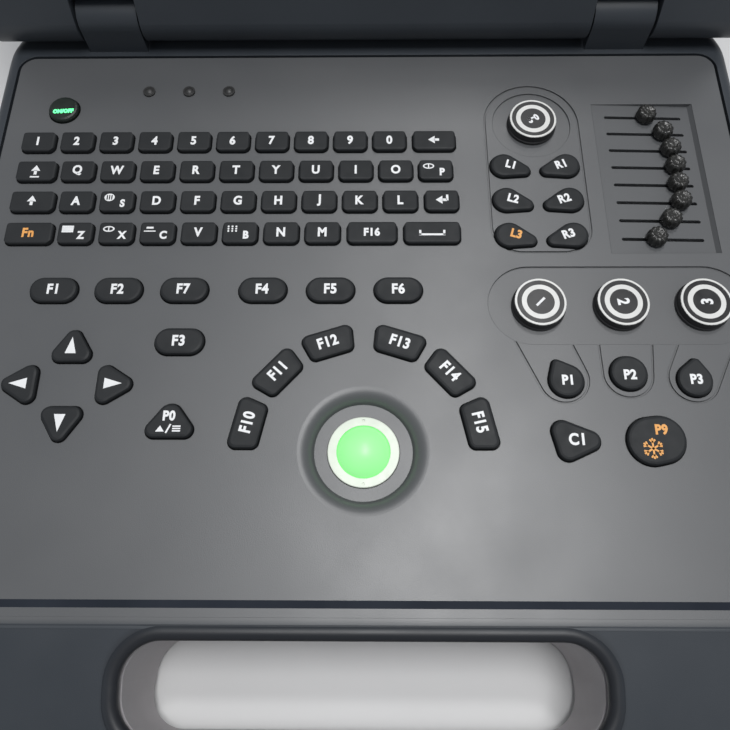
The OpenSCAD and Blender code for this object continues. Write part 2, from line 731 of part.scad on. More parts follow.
// Side view of a keyboard key: straight walls and a rounded top edge
module crown2(w) {
  translate([-w / 2, -10]) square([w, 10 + key_h - key_edge_r]);
  translate([-w / 2 + key_edge_r, -10]) square([w - 2 * key_edge_r, 10 + key_h]);
  for (s = [-1, 1]) translate([s * (w / 2 - key_edge_r), key_h - key_edge_r]) circle(key_edge_r);
}

module mode_keys() color([0.16, 0.17, 0.17]) {
  for (x = pill_x) translate([x, pill_y, 0]) soft_key(pill_pts, pill_rs);
  translate([report_at[0], report_at[1], 0]) soft_key(pill_pts, pill_rs);
}
module adjust_keys() color([0.16, 0.17, 0.17])
  for (i = [0 : 5]) on_adjust(i) soft_key(adjust_pts, adjust_rs);
module option_keys() color([0.16, 0.17, 0.17])
  for (i = [0 : 2]) translate(option_at[i]) soft_key(option_pts[i], option_rs[i]);
module arrow_key(i) color([0.16, 0.17, 0.17]) on_arrow(i) soft_key(arrow_pts, arrow_rs);
module arc_key(i) color([0.16, 0.17, 0.17]) on_arc(i) soft_key(arc_pts, arc_rs);
module probe_key() color([0.16, 0.17, 0.17]) translate(probe_at) soft_key(probe_pts, probe_rs);
module cine_key() color([0.16, 0.17, 0.17]) translate(cine_at) soft_key(cine_pts, cine_rs);
module freeze_key() color([0.16, 0.17, 0.17]) translate(freeze_at) soft_key(freeze_pts, freeze_rs);
module power_key() color([0.05, 0.2, 0.08]) translate(power_at) soft_key(power_pts, power_rs);

// ---- knobs and sliders ----

module knob(p, low) color([0.1, 0.1, 0.11]) translate([p[0], p[1], deck_z]) {
  rotate_extrude() {
    translate([0, knob_gap - low]) square([knob_r + 0.5, 0.9]);
    translate([0, knob_gap - low]) square([knob_r, knob_h - 0.4 + low - knob_gap]);
    square([knob_r - 0.4, knob_h]);
    translate([knob_r - 0.4, knob_h - 0.4]) circle(0.4);
    translate([0.6 * knob_r, knob_h - 1]) square([0.2 * knob_r, 1.2]);
    translate([0.92 * knob_r - 0.5, knob_h - 1]) square([0.5, 1.2]);
  }
  translate([0, 0, -shaft_end]) cylinder(r = shaft_r, h = shaft_end);
}

module tgc_slider(i) color([0.07, 0.07, 0.08])
  translate([slide_x + slide_rest[i], slide_y - i * slide_pitch, deck_z - tray_left + cap_gap]) {
    difference() {
      rotate_extrude() {
        square([cap_r, cap_foot]);
        square([cap_r - cap_rib, cap_h - 1]);
        intersection() {
          translate([0, cap_h - cap_dome]) circle(cap_dome);
          translate([0, cap_h - 1.5]) square([cap_r - cap_rib, 2]);
        }
      }
      for (a = [0 : 30 : 330]) rotate(a) translate([cap_r + 0.1, 0, cap_foot]) cylinder(r = 2 * cap_rib, h = cap_h);
    }
    translate([-stem_l / 2, -stem_t / 2, -stem_end]) cube([stem_l, stem_t, stem_end + 1]);
  }

module slide_pots() color([0.55, 0.56, 0.58]) {
  for (i = [0 : slides - 1]) translate([slide_x, slide_y - i * slide_pitch, deck_z - pot_top - pot_t])
    difference() {
      translate([-slot_l / 2 - 8, -pot_w / 2, 0]) cube([slot_l + 16, pot_w, pot_t]);
      translate([-slot_l / 2, -slot_w / 2, pot_floor]) cube([slot_l, slot_w, pot_t]);
    }
  translate([slide_x - slot_l / 2 - 9, slide_y - (slides - 1) * slide_pitch - 7, deck_z - pot_top - pot_t - pcb_t])
    cube([slot_l + 18, (slides - 1) * slide_pitch + 14, pcb_t]);
}

// ---- boards and modules inside ----

// Plan of the key sheet and the key board: full width at the front, left of the sliders at the rear
module board2(g) {
  step_y = slide_y - (slides - 1) * slide_pitch - 9;
  step_x = slide_x - slot_l / 2 - 11;
  side = deck_w / 2 - ledge - 2;
  difference() {
    union() {
      translate([-side - g, -16 - g]) square([2 * side + 2 * g, step_y + 16 + 2 * g]);
      translate([-side - g, -16 - g]) square([side + step_x + 2 * g, 206 + 2 * g]);
    }
    circle(cup_r + 1);
  }
}

module key_sheet() color([0.3, 0.31, 0.32]) translate([0, 0, deck_z - pcb_top]) linear_extrude(sheet_t)
  difference() {
    board2(-1);
    circle(dish_r + dish_wall + 1);
    for (p = stud_points()) translate(p) circle(3.6);
    for (p = knob_points()) translate(p) square(14, center = true);
  }

module key_board() color([0.1, 0.35, 0.18]) {
  translate([0, 0, deck_z - pcb_top - pcb_t]) linear_extrude(pcb_t) board2(0);
  color([0.6, 0.6, 0.62]) for (p = knob_points()) translate([p[0], p[1], deck_z - pcb_top]) difference() {
    translate([-6, -6, -0.5]) cube([12, 12, pcb_top - key_low - race_depth + 0.5]);
    translate([0, 0, pcb_top - shaft_end - 0.5]) cylinder(r = shaft_r + run_fit, h = 20);
  }
}

module main_board() color([0.12, 0.34, 0.2]) {
  translate([board_lo[0], board_lo[1], board_z]) cube([board_w, board_d, pcb_t]);
  translate([board_lo[0] + 8, board_lo[1] + 20, board_z + 16]) cube([board_w - 30, board_d - 60, pcb_t]);
  for (x = [0, 1], y = [0, 1])
    translate([board_lo[0] + 14 + x * (board_w - 42), board_lo[1] + 26 + y * (board_d - 72), board_z + pcb_t])
      cylinder(r = 2.5, h = 16 - pcb_t);
  color([0.7, 0.7, 0.72]) translate([board_lo[0] + 60, board_lo[1] + 60, board_z + 16 + pcb_t]) {
    cube([46, 46, 3]);
    for (i = [0 : 8]) translate([i * 5.5, 0, 3]) cube([2, 46, 7]);
  }
  color([0.1, 0.1, 0.1]) for (i = [0 : 3]) {
    translate([board_lo[0] + 22 + i * 34, board_lo[1] + 32, board_z + 16 + pcb_t]) cube([18, 18, 2]);
    translate([board_lo[0] + 30 + i * 34, board_lo[1] + 4, board_z + pcb_t]) cube([20, 12, 6]);
  }
}

module power_supply() color([0.62, 0.63, 0.65]) difference() {
  translate([psu_lo[0], psu_lo[1], floor_z]) cube([psu_w, psu_d, psu_h]);
  for (i = [0 : 9]) translate([psu_lo[0] + 12 + i * 8, psu_lo[1] + 12, floor_z + psu_h - 1]) cube([4, psu_d - 24, 2]);
}

module battery_pack() color([0.2, 0.2, 0.22])
  translate([battery_lo[0] + 55, battery_lo[1] + 30, 0]) soft_slab(110, 60, 4, floor_z, floor_z + 22, 1.5, 1.5);

module speakers() color([0.1, 0.1, 0.1]) for (s = [-1, 1]) translate([s * speaker_x, speaker_y, floor_z])
  rotate_extrude() {
    square([18, 3]);
    square([15, 6]);
    square([9, 12]);
  }

module fan_frame() color([0.1, 0.1, 0.1]) translate([-side_in + fit, fan_y, middle_z]) rotate([0, 90, 0]) {
  difference() {
    linear_extrude(fan_t) slab2(fan_side, fan_side, 3);
    translate([0, 0, -1]) cylinder(r = bore_r, h = fan_t + 2);
    for (x = [-1, 1], y = [-1, 1]) translate([x, y] * (fan_side / 2 - 3.5)) translate([0, 0, -1]) cylinder(r = 1.6, h = fan_t + 2);
  }
  translate([0, 0, fan_t - 2]) {
    cylinder(r = 8, h = 2);
    for (a = [45 : 90 : 315]) rotate(a) translate([6, -1.2, 0]) cube([bore_r - 5, 2.4, 2]);
  }
  translate([0, 0, 2]) cylinder(r = 1.5, h = fan_t - 3);
}

module fan_rotor() color([0.16, 0.16, 0.17]) translate([-side_in + fit, fan_y, middle_z]) rotate([0, 90, 0]) {
  difference() {
    translate([0, 0, 1]) cylinder(r = 8.5, h = fan_t - 3.5);
    translate([0, 0, 1.6]) cylinder(r = 1.5 + run_fit, h = fan_t);
  }
  for (a = [0 : 360 / 7 : 359]) rotate(a) translate([7.5, 0, fan_t / 2 - 0.7]) rotate([38, 0, 0])
    translate([0, -3.6, -0.5]) cube([bore_r - 8.3, 7.2, 1]);
}

// ---- ports ----

module rear_panel() color([0.3, 0.31, 0.33]) difference() {
  translate([port_x - port_win / 2 + fit, rear_reach - 3.5, middle_z - port_h / 2 + fit])
    cube([port_win - 2 * fit, 2.5, port_h - 2 * fit]);
  for (p = ports()) translate([port_x + p[0], rear_reach, middle_z]) cube([p[1] + 0.4, 20, p[2] + 0.4], center = true);
}

// rear connectors: place across the window, width, height, depth of the mouth
function ports() = [[-56, 28, 21, 17], [-22, 17, 15, 12], [4, 15.4, 14, 0], [32, 32, 13, 0], [62, 12, 12, 0]];

module io_sockets() color([0.12, 0.12, 0.13]) {
  for (p = ports()) translate([port_x + p[0], rear_reach - 0.6, middle_z]) difference() {
    translate([0, -10, 0]) cube([p[1], 20, p[2]], center = true);
    if (p[3] > 0) translate([0, 0, 0]) cube([p[1] - 4, 2 * p[3], p[2] - 4], center = true);
    if (p[1] == 15.4) for (s = [-1, 1]) translate([0, 0, s * 3.2]) cube([12.6, 18, 3.4], center = true);
    if (p[1] == 32) cube([17, 12, 6], center = true);
    if (p[1] == 12) rotate([90, 0, 0]) cylinder(r = 3.4, h = 16, center = true);
  }
  for (x = [-7, 0, 7]) translate([port_x - 56 + x, rear_reach - 18, middle_z + (x == 0 ? -3 : 2)]) cube([2, 11, 4], center = true);
}

module probe_sockets() color([0.2, 0.21, 0.23]) {
  difference() {
    translate([side_in + 0.5, probe_y - probe_win / 2 + fit, middle_z - probe_h / 2 + fit])
      cube([wall - 1, probe_win - 2 * fit, probe_h - 2 * fit]);
    for (s = [-1, 1]) translate([side_in, probe_y + s * probe_pitch / 2, middle_z]) cube([20, probe_mouth + 4, 22], center = true);
  }
  for (s = [-1, 1]) translate([side_in + wall - 0.4, probe_y + s * probe_pitch / 2, middle_z]) {
    difference() {
      translate([-15, 0, 0]) cube([30, probe_mouth + 4, 22], center = true);
      cube([24, probe_mouth, 18], center = true);
    }
    translate([-11, 0, 0]) cube([6, probe_mouth - 8, 9], center = true);
  }
}

// ---- the lid ----

module lid_form(g, rt, rb)
  intersection() {
    translate([0, (hinge_y + 40 + lid_front) / 2, 0])
      soft_slab(body_w - 2 * g, lid_len + 40 - 2 * g, lid_corner_r - g, lid_z + (g > 0 ? -1 : 0), lid_z + lid_t - g, rt, rb);
    if (g == 0) across(body_w + 2) {
      translate([hinge_y, hinge_z]) circle(barrel_r);
      translate([lid_front - 1, lid_z - 1]) square([lid_len + 1, lid_t + 2]);
    }
    if (g > 0) translate([-body_w, lid_front - 1, lid_z - 2]) cube([2 * body_w, lid_len - barrel_r - 3 + 1, lid_t + 4]);
  }

module lid_back() color([0.26, 0.28, 0.3]) lid_pose() difference() {
  union() {
    difference() {
      lid_form(0, lid_edge_r, 1);
      lid_form(lid_wall, lid_edge_r - lid_wall, 0);
    }
    for (x = [-1, 1], y = [-1, 1])
      translate([x * (screen_w / 2 - 12), screen_mid + y * (screen_h / 2 - 16), lcd_z + lcd_t + fit])
        cylinder(r = 5, h = lid_z + lid_t - lid_wall - lcd_z - lcd_t + 1);
  }
  for (s = [-1, 1]) {
    translate([s * hinge_x - ear_w / 2 - 1, hinge_y - barrel_r - 2.5, lid_z - 1]) cube([ear_w + 2, 2 * barrel_r + 6, lid_t + 2]);
    translate([s * hinge_x, hinge_y, hinge_z]) rotate([0, 90, 0]) cylinder(r = pin_r + run_fit / 2, h = ear_w + 40, center = true);
  }
}

module hinge_pins() color([0.75, 0.76, 0.78]) lid_pose()
  for (s = [-1, 1]) translate([s * hinge_x, hinge_y, hinge_z]) rotate([0, 90, 0])
    cylinder(r = pin_r, h = ear_w + 38, center = true);

module lid_bezel() color([0.2, 0.21, 0.22]) lid_pose() difference() {
  intersection() {
    translate([0, 0, bezel_z]) linear_extrude(bezel_t) translate([0, (hinge_y + 40 + lid_front) / 2])
      slab2(body_w - 2 * lid_wall - 2 * fit, lid_len + 40 - 2 * lid_wall - 2 * fit, lid_corner_r - lid_wall - fit);
    translate([-body_w, lid_front, lid_z]) cube([2 * body_w, lid_len - barrel_r - 3 - fit, lid_t]);
  }
  translate([0, screen_mid, bezel_z - 1]) linear_extrude(bezel_t + 2) slab2(screen_w, screen_h, 2);
}

module lcd_panel() color([0.03, 0.03, 0.04]) lid_pose()
  translate([-screen_w / 2 - lcd_margin, screen_mid - screen_h / 2 - lcd_margin, lcd_z])
    cube([screen_w + 2 * lcd_margin, screen_h + 2 * lcd_margin, lcd_t]);

module lid_bumpers() color([0.1, 0.1, 0.1]) lid_pose()
  for (x = [-1, 1], y = [lid_front + 16, deck_rear - 10])
    translate([x * (deck_w / 2 - 9), y, deck_z + 0.3]) rotate_extrude() {
      square([3, bezel_z - deck_z - 0.3]);
      translate([0, 1]) square([4, bezel_z - deck_z - 1.3]);
      translate([3, 1]) circle(1);
    }

module placed() translate([0, ball_y, 0]) children();

placed() bottom_case();
placed() top_case();
placed() deck_panel();
placed() handle_liner();
placed() rubber_feet();
placed() case_screws();
placed() rear_panel();
placed() io_sockets();
placed() probe_sockets();
placed() main_board();
placed() power_supply();
placed() battery_pack();
placed() fan_frame();
placed() key_board();
placed() key_sheet();
placed() trackball_housing();
placed() trackball_ring();
placed() slide_pots();
placed() indicator_lenses();
placed() speakers();
placed() lid_back();
placed() lid_bezel();
placed() lcd_panel();
placed() hinge_pins();
placed() lid_bumpers();
placed() trackball_ball();
placed() fan_rotor();
placed() power_key();
placed() knob(adjust_knob_at, groove_d);  // adjust_knob
placed() knob(knob_points()[1], race_depth);  // mode_knob_left
placed() knob(knob_points()[2], race_depth);  // mode_knob_middle
placed() knob(knob_points()[3], race_depth);  // mode_knob_right
placed() tgc_slider(0);  // tgc_slider_1
placed() tgc_slider(1);  // tgc_slider_2
placed() tgc_slider(2);  // tgc_slider_3
placed() tgc_slider(3);  // tgc_slider_4
placed() tgc_slider(4);  // tgc_slider_5
placed() tgc_slider(5);  // tgc_slider_6
placed() tgc_slider(6);  // tgc_slider_7
placed() tgc_slider(7);  // tgc_slider_8
placed() row_of_keys(0);  // key_row_digits
placed() row_of_keys(1);  // key_row_upper
placed() row_of_keys(2);  // key_row_middle
placed() row_of_keys(3);  // key_row_lower
placed() arrow_key(0);  // arrow_key_up
placed() arrow_key(1);  // arrow_key_left
placed() arrow_key(2);  // arrow_key_down
placed() arrow_key(3);  // arrow_key_right
placed() arc_key(0);  // arc_key_1
placed() arc_key(1);  // arc_key_2
placed() arc_key(2);  // arc_key_3
placed() arc_key(3);  // arc_key_4
placed() arc_key(4);  // arc_key_5
placed() arc_key(5);  // arc_key_6
placed() mode_keys();
placed() adjust_keys();
placed() option_keys();
placed() probe_key();
placed() cine_key();
placed() freeze_key();
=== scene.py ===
# Portable ultrasound scanner: finishes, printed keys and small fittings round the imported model.
import bmesh
import bpy
import json
import math
from mathutils import Matrix, Vector
from mathutils.bvhtree import BVHTree


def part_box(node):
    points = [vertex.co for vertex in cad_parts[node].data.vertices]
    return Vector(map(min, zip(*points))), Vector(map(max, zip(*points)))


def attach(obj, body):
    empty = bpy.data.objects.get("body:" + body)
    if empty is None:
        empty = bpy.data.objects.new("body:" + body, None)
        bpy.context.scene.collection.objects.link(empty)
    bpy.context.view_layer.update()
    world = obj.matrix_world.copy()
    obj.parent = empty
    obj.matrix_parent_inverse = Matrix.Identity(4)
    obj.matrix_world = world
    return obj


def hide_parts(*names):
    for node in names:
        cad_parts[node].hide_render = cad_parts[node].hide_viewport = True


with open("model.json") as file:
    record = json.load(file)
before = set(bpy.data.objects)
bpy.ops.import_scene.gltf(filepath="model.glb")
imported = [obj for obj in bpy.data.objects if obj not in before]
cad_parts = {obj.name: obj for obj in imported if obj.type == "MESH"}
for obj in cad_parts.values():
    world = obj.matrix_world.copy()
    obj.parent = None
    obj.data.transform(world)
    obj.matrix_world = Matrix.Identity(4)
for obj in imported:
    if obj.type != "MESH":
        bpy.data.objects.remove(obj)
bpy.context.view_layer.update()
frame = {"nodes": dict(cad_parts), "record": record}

mm = 0.001
nodes = frame["nodes"]
scene = bpy.context.scene

picture = {"width": 730, "height": 730}

# middles of what shows of things in the photograph, x and y in its own pixels
imagePoints = {
    "powerKey": (63.9, 111.3),
    "powerWord": (63.2, 111.0),
    "middleLamp": (188.3, 90.0),
    "firstDigitKey": (40.5, 142.3),
    "backspaceKey": (435.0, 139.0),
    "spaceKey": (433.0, 230.8),
    "adjustKnob": (534.1, 118.4),
    "leftKnob": (541.6, 300.8),
    "firstSlider": (647.8, 111.0),
    "lastSlider": (657.0, 235.6),
    "upArrowKey": (69.0, 345.0),
    "probeSigns": (168.0, 428.5),
    "firstArcKey": (484.0, 422.5),
    "lastArcKey": (243.2, 422.0),
    "freezeWord": (661.5, 429.5),
    "freezeSign": (653.5, 448.5),
    "trackball": (363.5, 453.0),
}

view = {
    "place": (0.0039, -0.1636, 0.3290),
    "tilt": 20.56,
    "turn": 1.90,
    "roll": -1.76,
    "lens": 33.32,
    "sensorWidth": 36.0,
    "clipNear": 0.01,
    "clipFar": 50,
}


def makeCamera():
    data = bpy.data.cameras.new("camera")
    data.sensor_fit = "AUTO"
    data.sensor_width = view["sensorWidth"]
    data.lens = view["lens"]
    data.clip_start = view["clipNear"]
    data.clip_end = view["clipFar"]
    made = bpy.data.objects.new("camera", data)
    scene.collection.objects.link(made)
    aim = Matrix.Rotation(math.radians(view["turn"]), 4, "Z")
    aim = aim @ Matrix.Rotation(math.radians(view["tilt"]), 4, "X")
    aim = aim @ Matrix.Rotation(math.radians(view["roll"]), 4, "Z")
    made.matrix_world = Matrix.Translation(view["place"]) @ aim
    scene.camera = made
    bpy.context.view_layer.update()
    return made


camera = makeCamera()


def toPicture(point):
    seen = camera.matrix_world.inverted() @ Vector(point)
    longSide = max(picture["width"], picture["height"])
    scale = longSide * view["lens"] / view["sensorWidth"] / -seen.z
    return picture["width"] / 2 + seen.x * scale, picture["height"] / 2 - seen.y * scale


def surfaceOf(pieces):
    corners, faces = [], []
    for piece in pieces:
        first = len(corners)
        corners += [v.co.copy() for v in piece.data.vertices]
        faces += [[first + i for i in face.vertices] for face in piece.data.polygons]
    return BVHTree.FromPolygons(corners, faces)


missedRay = {"from": 0.1, "step": 0.005, "steps": 100}  # where a ray that misses is tried, in metres


def placeOn(pointName, carrier):
    # where the ray through an image point meets what carries the piece, or the place nearest to the ray
    x, y = imagePoints[pointName]
    longSide = max(picture["width"], picture["height"])
    ray = Vector((x - picture["width"] / 2, picture["height"] / 2 - y,
                  -longSide * view["lens"] / view["sensorWidth"]))
    start = camera.matrix_world.translation
    way = (camera.matrix_world.to_3x3() @ ray).normalized()
    hit = carrier.ray_cast(start, way)[0]
    if hit is None:
        steps = [start + way * (missedRay["from"] + missedRay["step"] * i) for i in range(missedRay["steps"])]
        hit = min((carrier.find_nearest(p) for p in steps), key=lambda found: found[3])[0]
    return hit


print("camera set")


def mixNode(tree, first, second):
    mix = tree.nodes.new("ShaderNodeMix")
    mix.data_type = "RGBA"
    mix.inputs[6].default_value = (*first, 1)
    mix.inputs[7].default_value = (*second, 1)
    return mix


def noiseNode(tree, place, scale, detail):
    noise = tree.nodes.new("ShaderNodeTexNoise")
    noise.inputs["Scale"].default_value = scale
    noise.inputs["Detail"].default_value = detail
    tree.links.new(place, noise.inputs["Vector"])
    return noise


def spreadNode(tree, value, low, high, fromLow=0.3, fromHigh=0.7):
    spread = tree.nodes.new("ShaderNodeMapRange")
    spread.inputs["From Min"].default_value = fromLow
    spread.inputs["From Max"].default_value = fromHigh
    spread.inputs["To Min"].default_value = low
    spread.inputs["To Max"].default_value = high
    tree.links.new(value, spread.inputs["Value"])
    return spread


surfaceLook = {
    "patchDetail": 3,
    "smearScale": 3.1,  # smears to a patch
    "smearDetail": 4,
    "grainDetail": 2,
    "edgeSamples": 4,
    "plainShine": 0.5,
    "coatRough": 0.1,
}


def moulded(name, look):
    # moulded plastic, rubber or metal: mottled colour, uneven sheen, fine spark-eroded grain, eased edges
    material = bpy.data.materials.new(name)
    material.use_nodes = True
    tree = material.node_tree
    shader = tree.nodes["Principled BSDF"]
    place = tree.nodes.new("ShaderNodeTexCoord").outputs["Object"]
    patches = noiseNode(tree, place, look["patches"], surfaceLook["patchDetail"])
    colour = mixNode(tree, look["dark"], look["light"])
    amount = spreadNode(tree, patches.outputs[0], 0, 1)
    tree.links.new(amount.outputs[0], colour.inputs[0])
    tree.links.new(colour.outputs[2], shader.inputs["Base Color"])
    smears = noiseNode(tree, place, look["patches"] * surfaceLook["smearScale"], surfaceLook["smearDetail"])
    sheen = spreadNode(tree, smears.outputs[0], look["smooth"], look["rough"])
    tree.links.new(sheen.outputs[0], shader.inputs["Roughness"])
    grain = noiseNode(tree, place, look["grain"], surfaceLook["grainDetail"])
    bump = tree.nodes.new("ShaderNodeBump")
    bump.inputs["Strength"].default_value = look["bite"]
    bump.inputs["Distance"].default_value = look["depth"]
    tree.links.new(grain.outputs[0], bump.inputs["Height"])
    if look.get("edge"):
        edge = tree.nodes.new("ShaderNodeBevel")
        edge.samples = surfaceLook["edgeSamples"]
        edge.inputs["Radius"].default_value = look["edge"]
        tree.links.new(edge.outputs[0], bump.inputs["Normal"])
    tree.links.new(bump.outputs[0], shader.inputs["Normal"])
    shader.inputs["Specular IOR Level"].default_value = look.get("shine", surfaceLook["plainShine"])
    if look.get("coat"):
        shader.inputs["Coat Weight"].default_value = look["coat"]
        shader.inputs["Coat Roughness"].default_value = surfaceLook["coatRough"]
    if look.get("metal"):
        shader.inputs["Metallic"].default_value = look["metal"]
    if look.get("glow"):
        shader.inputs["Emission Color"].default_value = (*look["glow"], 1)
        shader.inputs["Emission Strength"].default_value = look["glowPower"]
    return material


finishes = {
    "caseSlate": {
        "dark": (0.030, 0.036, 0.044), "light": (0.038, 0.045, 0.054), "patches": 14,
        "smooth": 0.40, "rough": 0.50, "grain": 2600, "bite": 0.25, "depth": 0.00012,
        "edge": 0.0003,
    },
    "caseLight": {
        "dark": (0.40, 0.395, 0.385), "light": (0.45, 0.445, 0.43), "patches": 12, "smooth": 0.45,
        "rough": 0.55, "grain": 2400, "bite": 0.25, "depth": 0.00012, "edge": 0.0003,
    },
    "linerGrey": {
        "dark": (0.36, 0.345, 0.355), "light": (0.43, 0.41, 0.42), "patches": 16, "smooth": 0.45,
        "rough": 0.58, "grain": 2400, "bite": 0.2, "depth": 0.0001, "edge": 0.0003,
    },
    "deckGrey": {
        "dark": (0.083, 0.087, 0.092), "light": (0.096, 0.099, 0.103), "patches": 9,
        "smooth": 0.37, "rough": 0.44, "grain": 2600, "bite": 0.3, "depth": 0.00012,
        "edge": 0.00035, "shine": 0.7,
    },
    "keyRubber": {
        "dark": (0.016, 0.018, 0.020), "light": (0.023, 0.025, 0.027), "patches": 60,
        "smooth": 0.52, "rough": 0.64, "grain": 3500, "bite": 0.2, "depth": 0.0001,
        "edge": 0.0003, "shine": 0.28,
    },
    "powerGreen": {
        "dark": (0.009, 0.012, 0.011), "light": (0.011, 0.019, 0.014), "patches": 110,
        "smooth": 0.38, "rough": 0.50, "grain": 3500, "bite": 0.1, "depth": 0.0001,
        "edge": 0.0003,
    },
    "knobBlack": {
        "dark": (0.012, 0.012, 0.013), "light": (0.018, 0.018, 0.019), "patches": 80,
        "smooth": 0.30, "rough": 0.42, "grain": 3200, "bite": 0.12, "depth": 0.0001,
        "edge": 0.0002,
    },
    "knobRing": {
        "dark": (0.70, 0.70, 0.68), "light": (0.78, 0.78, 0.76), "patches": 120, "smooth": 0.25,
        "rough": 0.38, "grain": 3000, "bite": 0.05, "depth": 0.0001,
    },
    "capBlack": {
        "dark": (0.016, 0.016, 0.015), "light": (0.028, 0.028, 0.026), "patches": 300,
        "smooth": 0.22, "rough": 0.36, "grain": 430, "bite": 0.8, "depth": 0.0009,
    },
    "lensBlack": {
        "dark": (0.022, 0.022, 0.022), "light": (0.032, 0.032, 0.032), "patches": 90,
        "smooth": 0.40, "rough": 0.50, "grain": 2600, "bite": 0.05, "depth": 0.0001,
        "edge": 0.0003,
    },
    "ballGreen": {
        "dark": (0.29, 0.80, 0.28), "light": (0.33, 0.86, 0.32), "patches": 60, "smooth": 0.34,
        "rough": 0.44, "grain": 2200, "bite": 0.02, "depth": 0.0001, "glow": (0.30, 0.95, 0.32),
        "glowPower": 0.42,
    },
    "ringWhite": {
        "dark": (0.67, 0.72, 0.63), "light": (0.76, 0.81, 0.71), "patches": 90, "smooth": 0.30,
        "rough": 0.42, "grain": 2400, "bite": 0.04, "depth": 0.0001, "edge": 0.0003,
    },
    "softRubber": {
        "dark": (0.016, 0.016, 0.017), "light": (0.024, 0.024, 0.025), "patches": 60,
        "smooth": 0.62, "rough": 0.78, "grain": 3000, "bite": 0.3, "depth": 0.0001,
        "edge": 0.0003,
    },
    "bezelBlack": {
        "dark": (0.018, 0.020, 0.022), "light": (0.024, 0.026, 0.028), "patches": 18,
        "smooth": 0.42, "rough": 0.52, "grain": 2600, "bite": 0.25, "depth": 0.00012,
        "edge": 0.0003,
    },
    "screenBlack": {
        "dark": (0.006, 0.008, 0.010), "light": (0.009, 0.011, 0.014), "patches": 8,
        "smooth": 0.12, "rough": 0.18, "grain": 5000, "bite": 0.04, "depth": 0.00004, "coat": 0.3,
    },
    "portBlack": {
        "dark": (0.014, 0.014, 0.015), "light": (0.022, 0.022, 0.023), "patches": 60,
        "smooth": 0.40, "rough": 0.55, "grain": 2600, "bite": 0.2, "depth": 0.0001,
        "edge": 0.0002,
    },
    "portGrey": {
        "dark": (0.030, 0.033, 0.036), "light": (0.040, 0.043, 0.046), "patches": 60,
        "smooth": 0.42, "rough": 0.55, "grain": 2600, "bite": 0.2, "depth": 0.0001,
        "edge": 0.0003,
    },
    "circuitBoard": {
        "dark": (0.012, 0.085, 0.035), "light": (0.02, 0.12, 0.05), "patches": 120,
        "smooth": 0.28, "rough": 0.42, "grain": 1500, "bite": 0.2, "depth": 0.0001,
    },
    "sheetMetal": {
        "dark": (0.50, 0.51, 0.53), "light": (0.58, 0.59, 0.61), "patches": 40, "smooth": 0.32,
        "rough": 0.48, "grain": 1800, "bite": 0.1, "depth": 0.0001, "metal": 1.0,
    },
    "batteryWrap": {
        "dark": (0.030, 0.030, 0.034), "light": (0.040, 0.040, 0.045), "patches": 30,
        "smooth": 0.30, "rough": 0.45, "grain": 2000, "bite": 0.1, "depth": 0.0001,
    },
    "platedSteel": {
        "dark": (0.48, 0.48, 0.49), "light": (0.58, 0.58, 0.59), "patches": 90, "smooth": 0.25,
        "rough": 0.40, "grain": 2400, "bite": 0.1, "depth": 0.00005, "metal": 1.0,
    },
    "whitePrint": {
        "dark": (0.80, 0.81, 0.82), "light": (0.88, 0.89, 0.90), "patches": 200, "smooth": 0.45,
        "rough": 0.6, "grain": 4000, "bite": 0.1, "depth": 0.00005,
    },
    "orangePrint": {
        "dark": (0.80, 0.36, 0.09), "light": (0.88, 0.43, 0.12), "patches": 200, "smooth": 0.45,
        "rough": 0.6, "grain": 4000, "bite": 0.1, "depth": 0.00005,
    },
    # painted shade: the black of the strip that stands in for the deep front seam
    "seamShadeBlack": {
        "dark": (0.018, 0.022, 0.030), "light": (0.026, 0.031, 0.041), "patches": 30,
        "smooth": 0.75, "rough": 0.9, "grain": 2500, "bite": 0.2, "depth": 0.0001, "shine": 0.1,
    },
    "litGreen": {
        "dark": (0.10, 0.75, 0.25), "light": (0.16, 0.85, 0.32), "patches": 200, "smooth": 0.4,
        "rough": 0.5, "grain": 4000, "bite": 0.05, "depth": 0.00005, "glow": (0.12, 1.0, 0.35),
        "glowPower": 1.2,
    },
}
materials = {name: moulded(name, look) for name, look in finishes.items()}


def shadeFadePlastic(name, rearFinish, frontFinish, rearY, frontY):
    # one finish that runs over into another from the rear to the front: on the front roll, the change from deck
    # grey to case slate, softened into a fade that is painted shade where the roll turns down
    material = moulded(name, finishes[rearFinish])
    tree = material.node_tree
    shader = tree.nodes["Principled BSDF"]
    rearColour = shader.inputs["Base Color"].links[0].from_socket
    place = tree.nodes.new("ShaderNodeTexCoord").outputs["Object"]
    parts = tree.nodes.new("ShaderNodeSeparateXYZ")
    tree.links.new(place, parts.inputs[0])
    amount = spreadNode(tree, parts.outputs["Y"], 1, 0, frontY, rearY)
    fade = mixNode(tree, (0, 0, 0), finishes[frontFinish]["light"])
    tree.links.new(amount.outputs[0], fade.inputs[0])
    tree.links.new(rearColour, fade.inputs[6])
    tree.links.new(fade.outputs[2], shader.inputs["Base Color"])
    return material


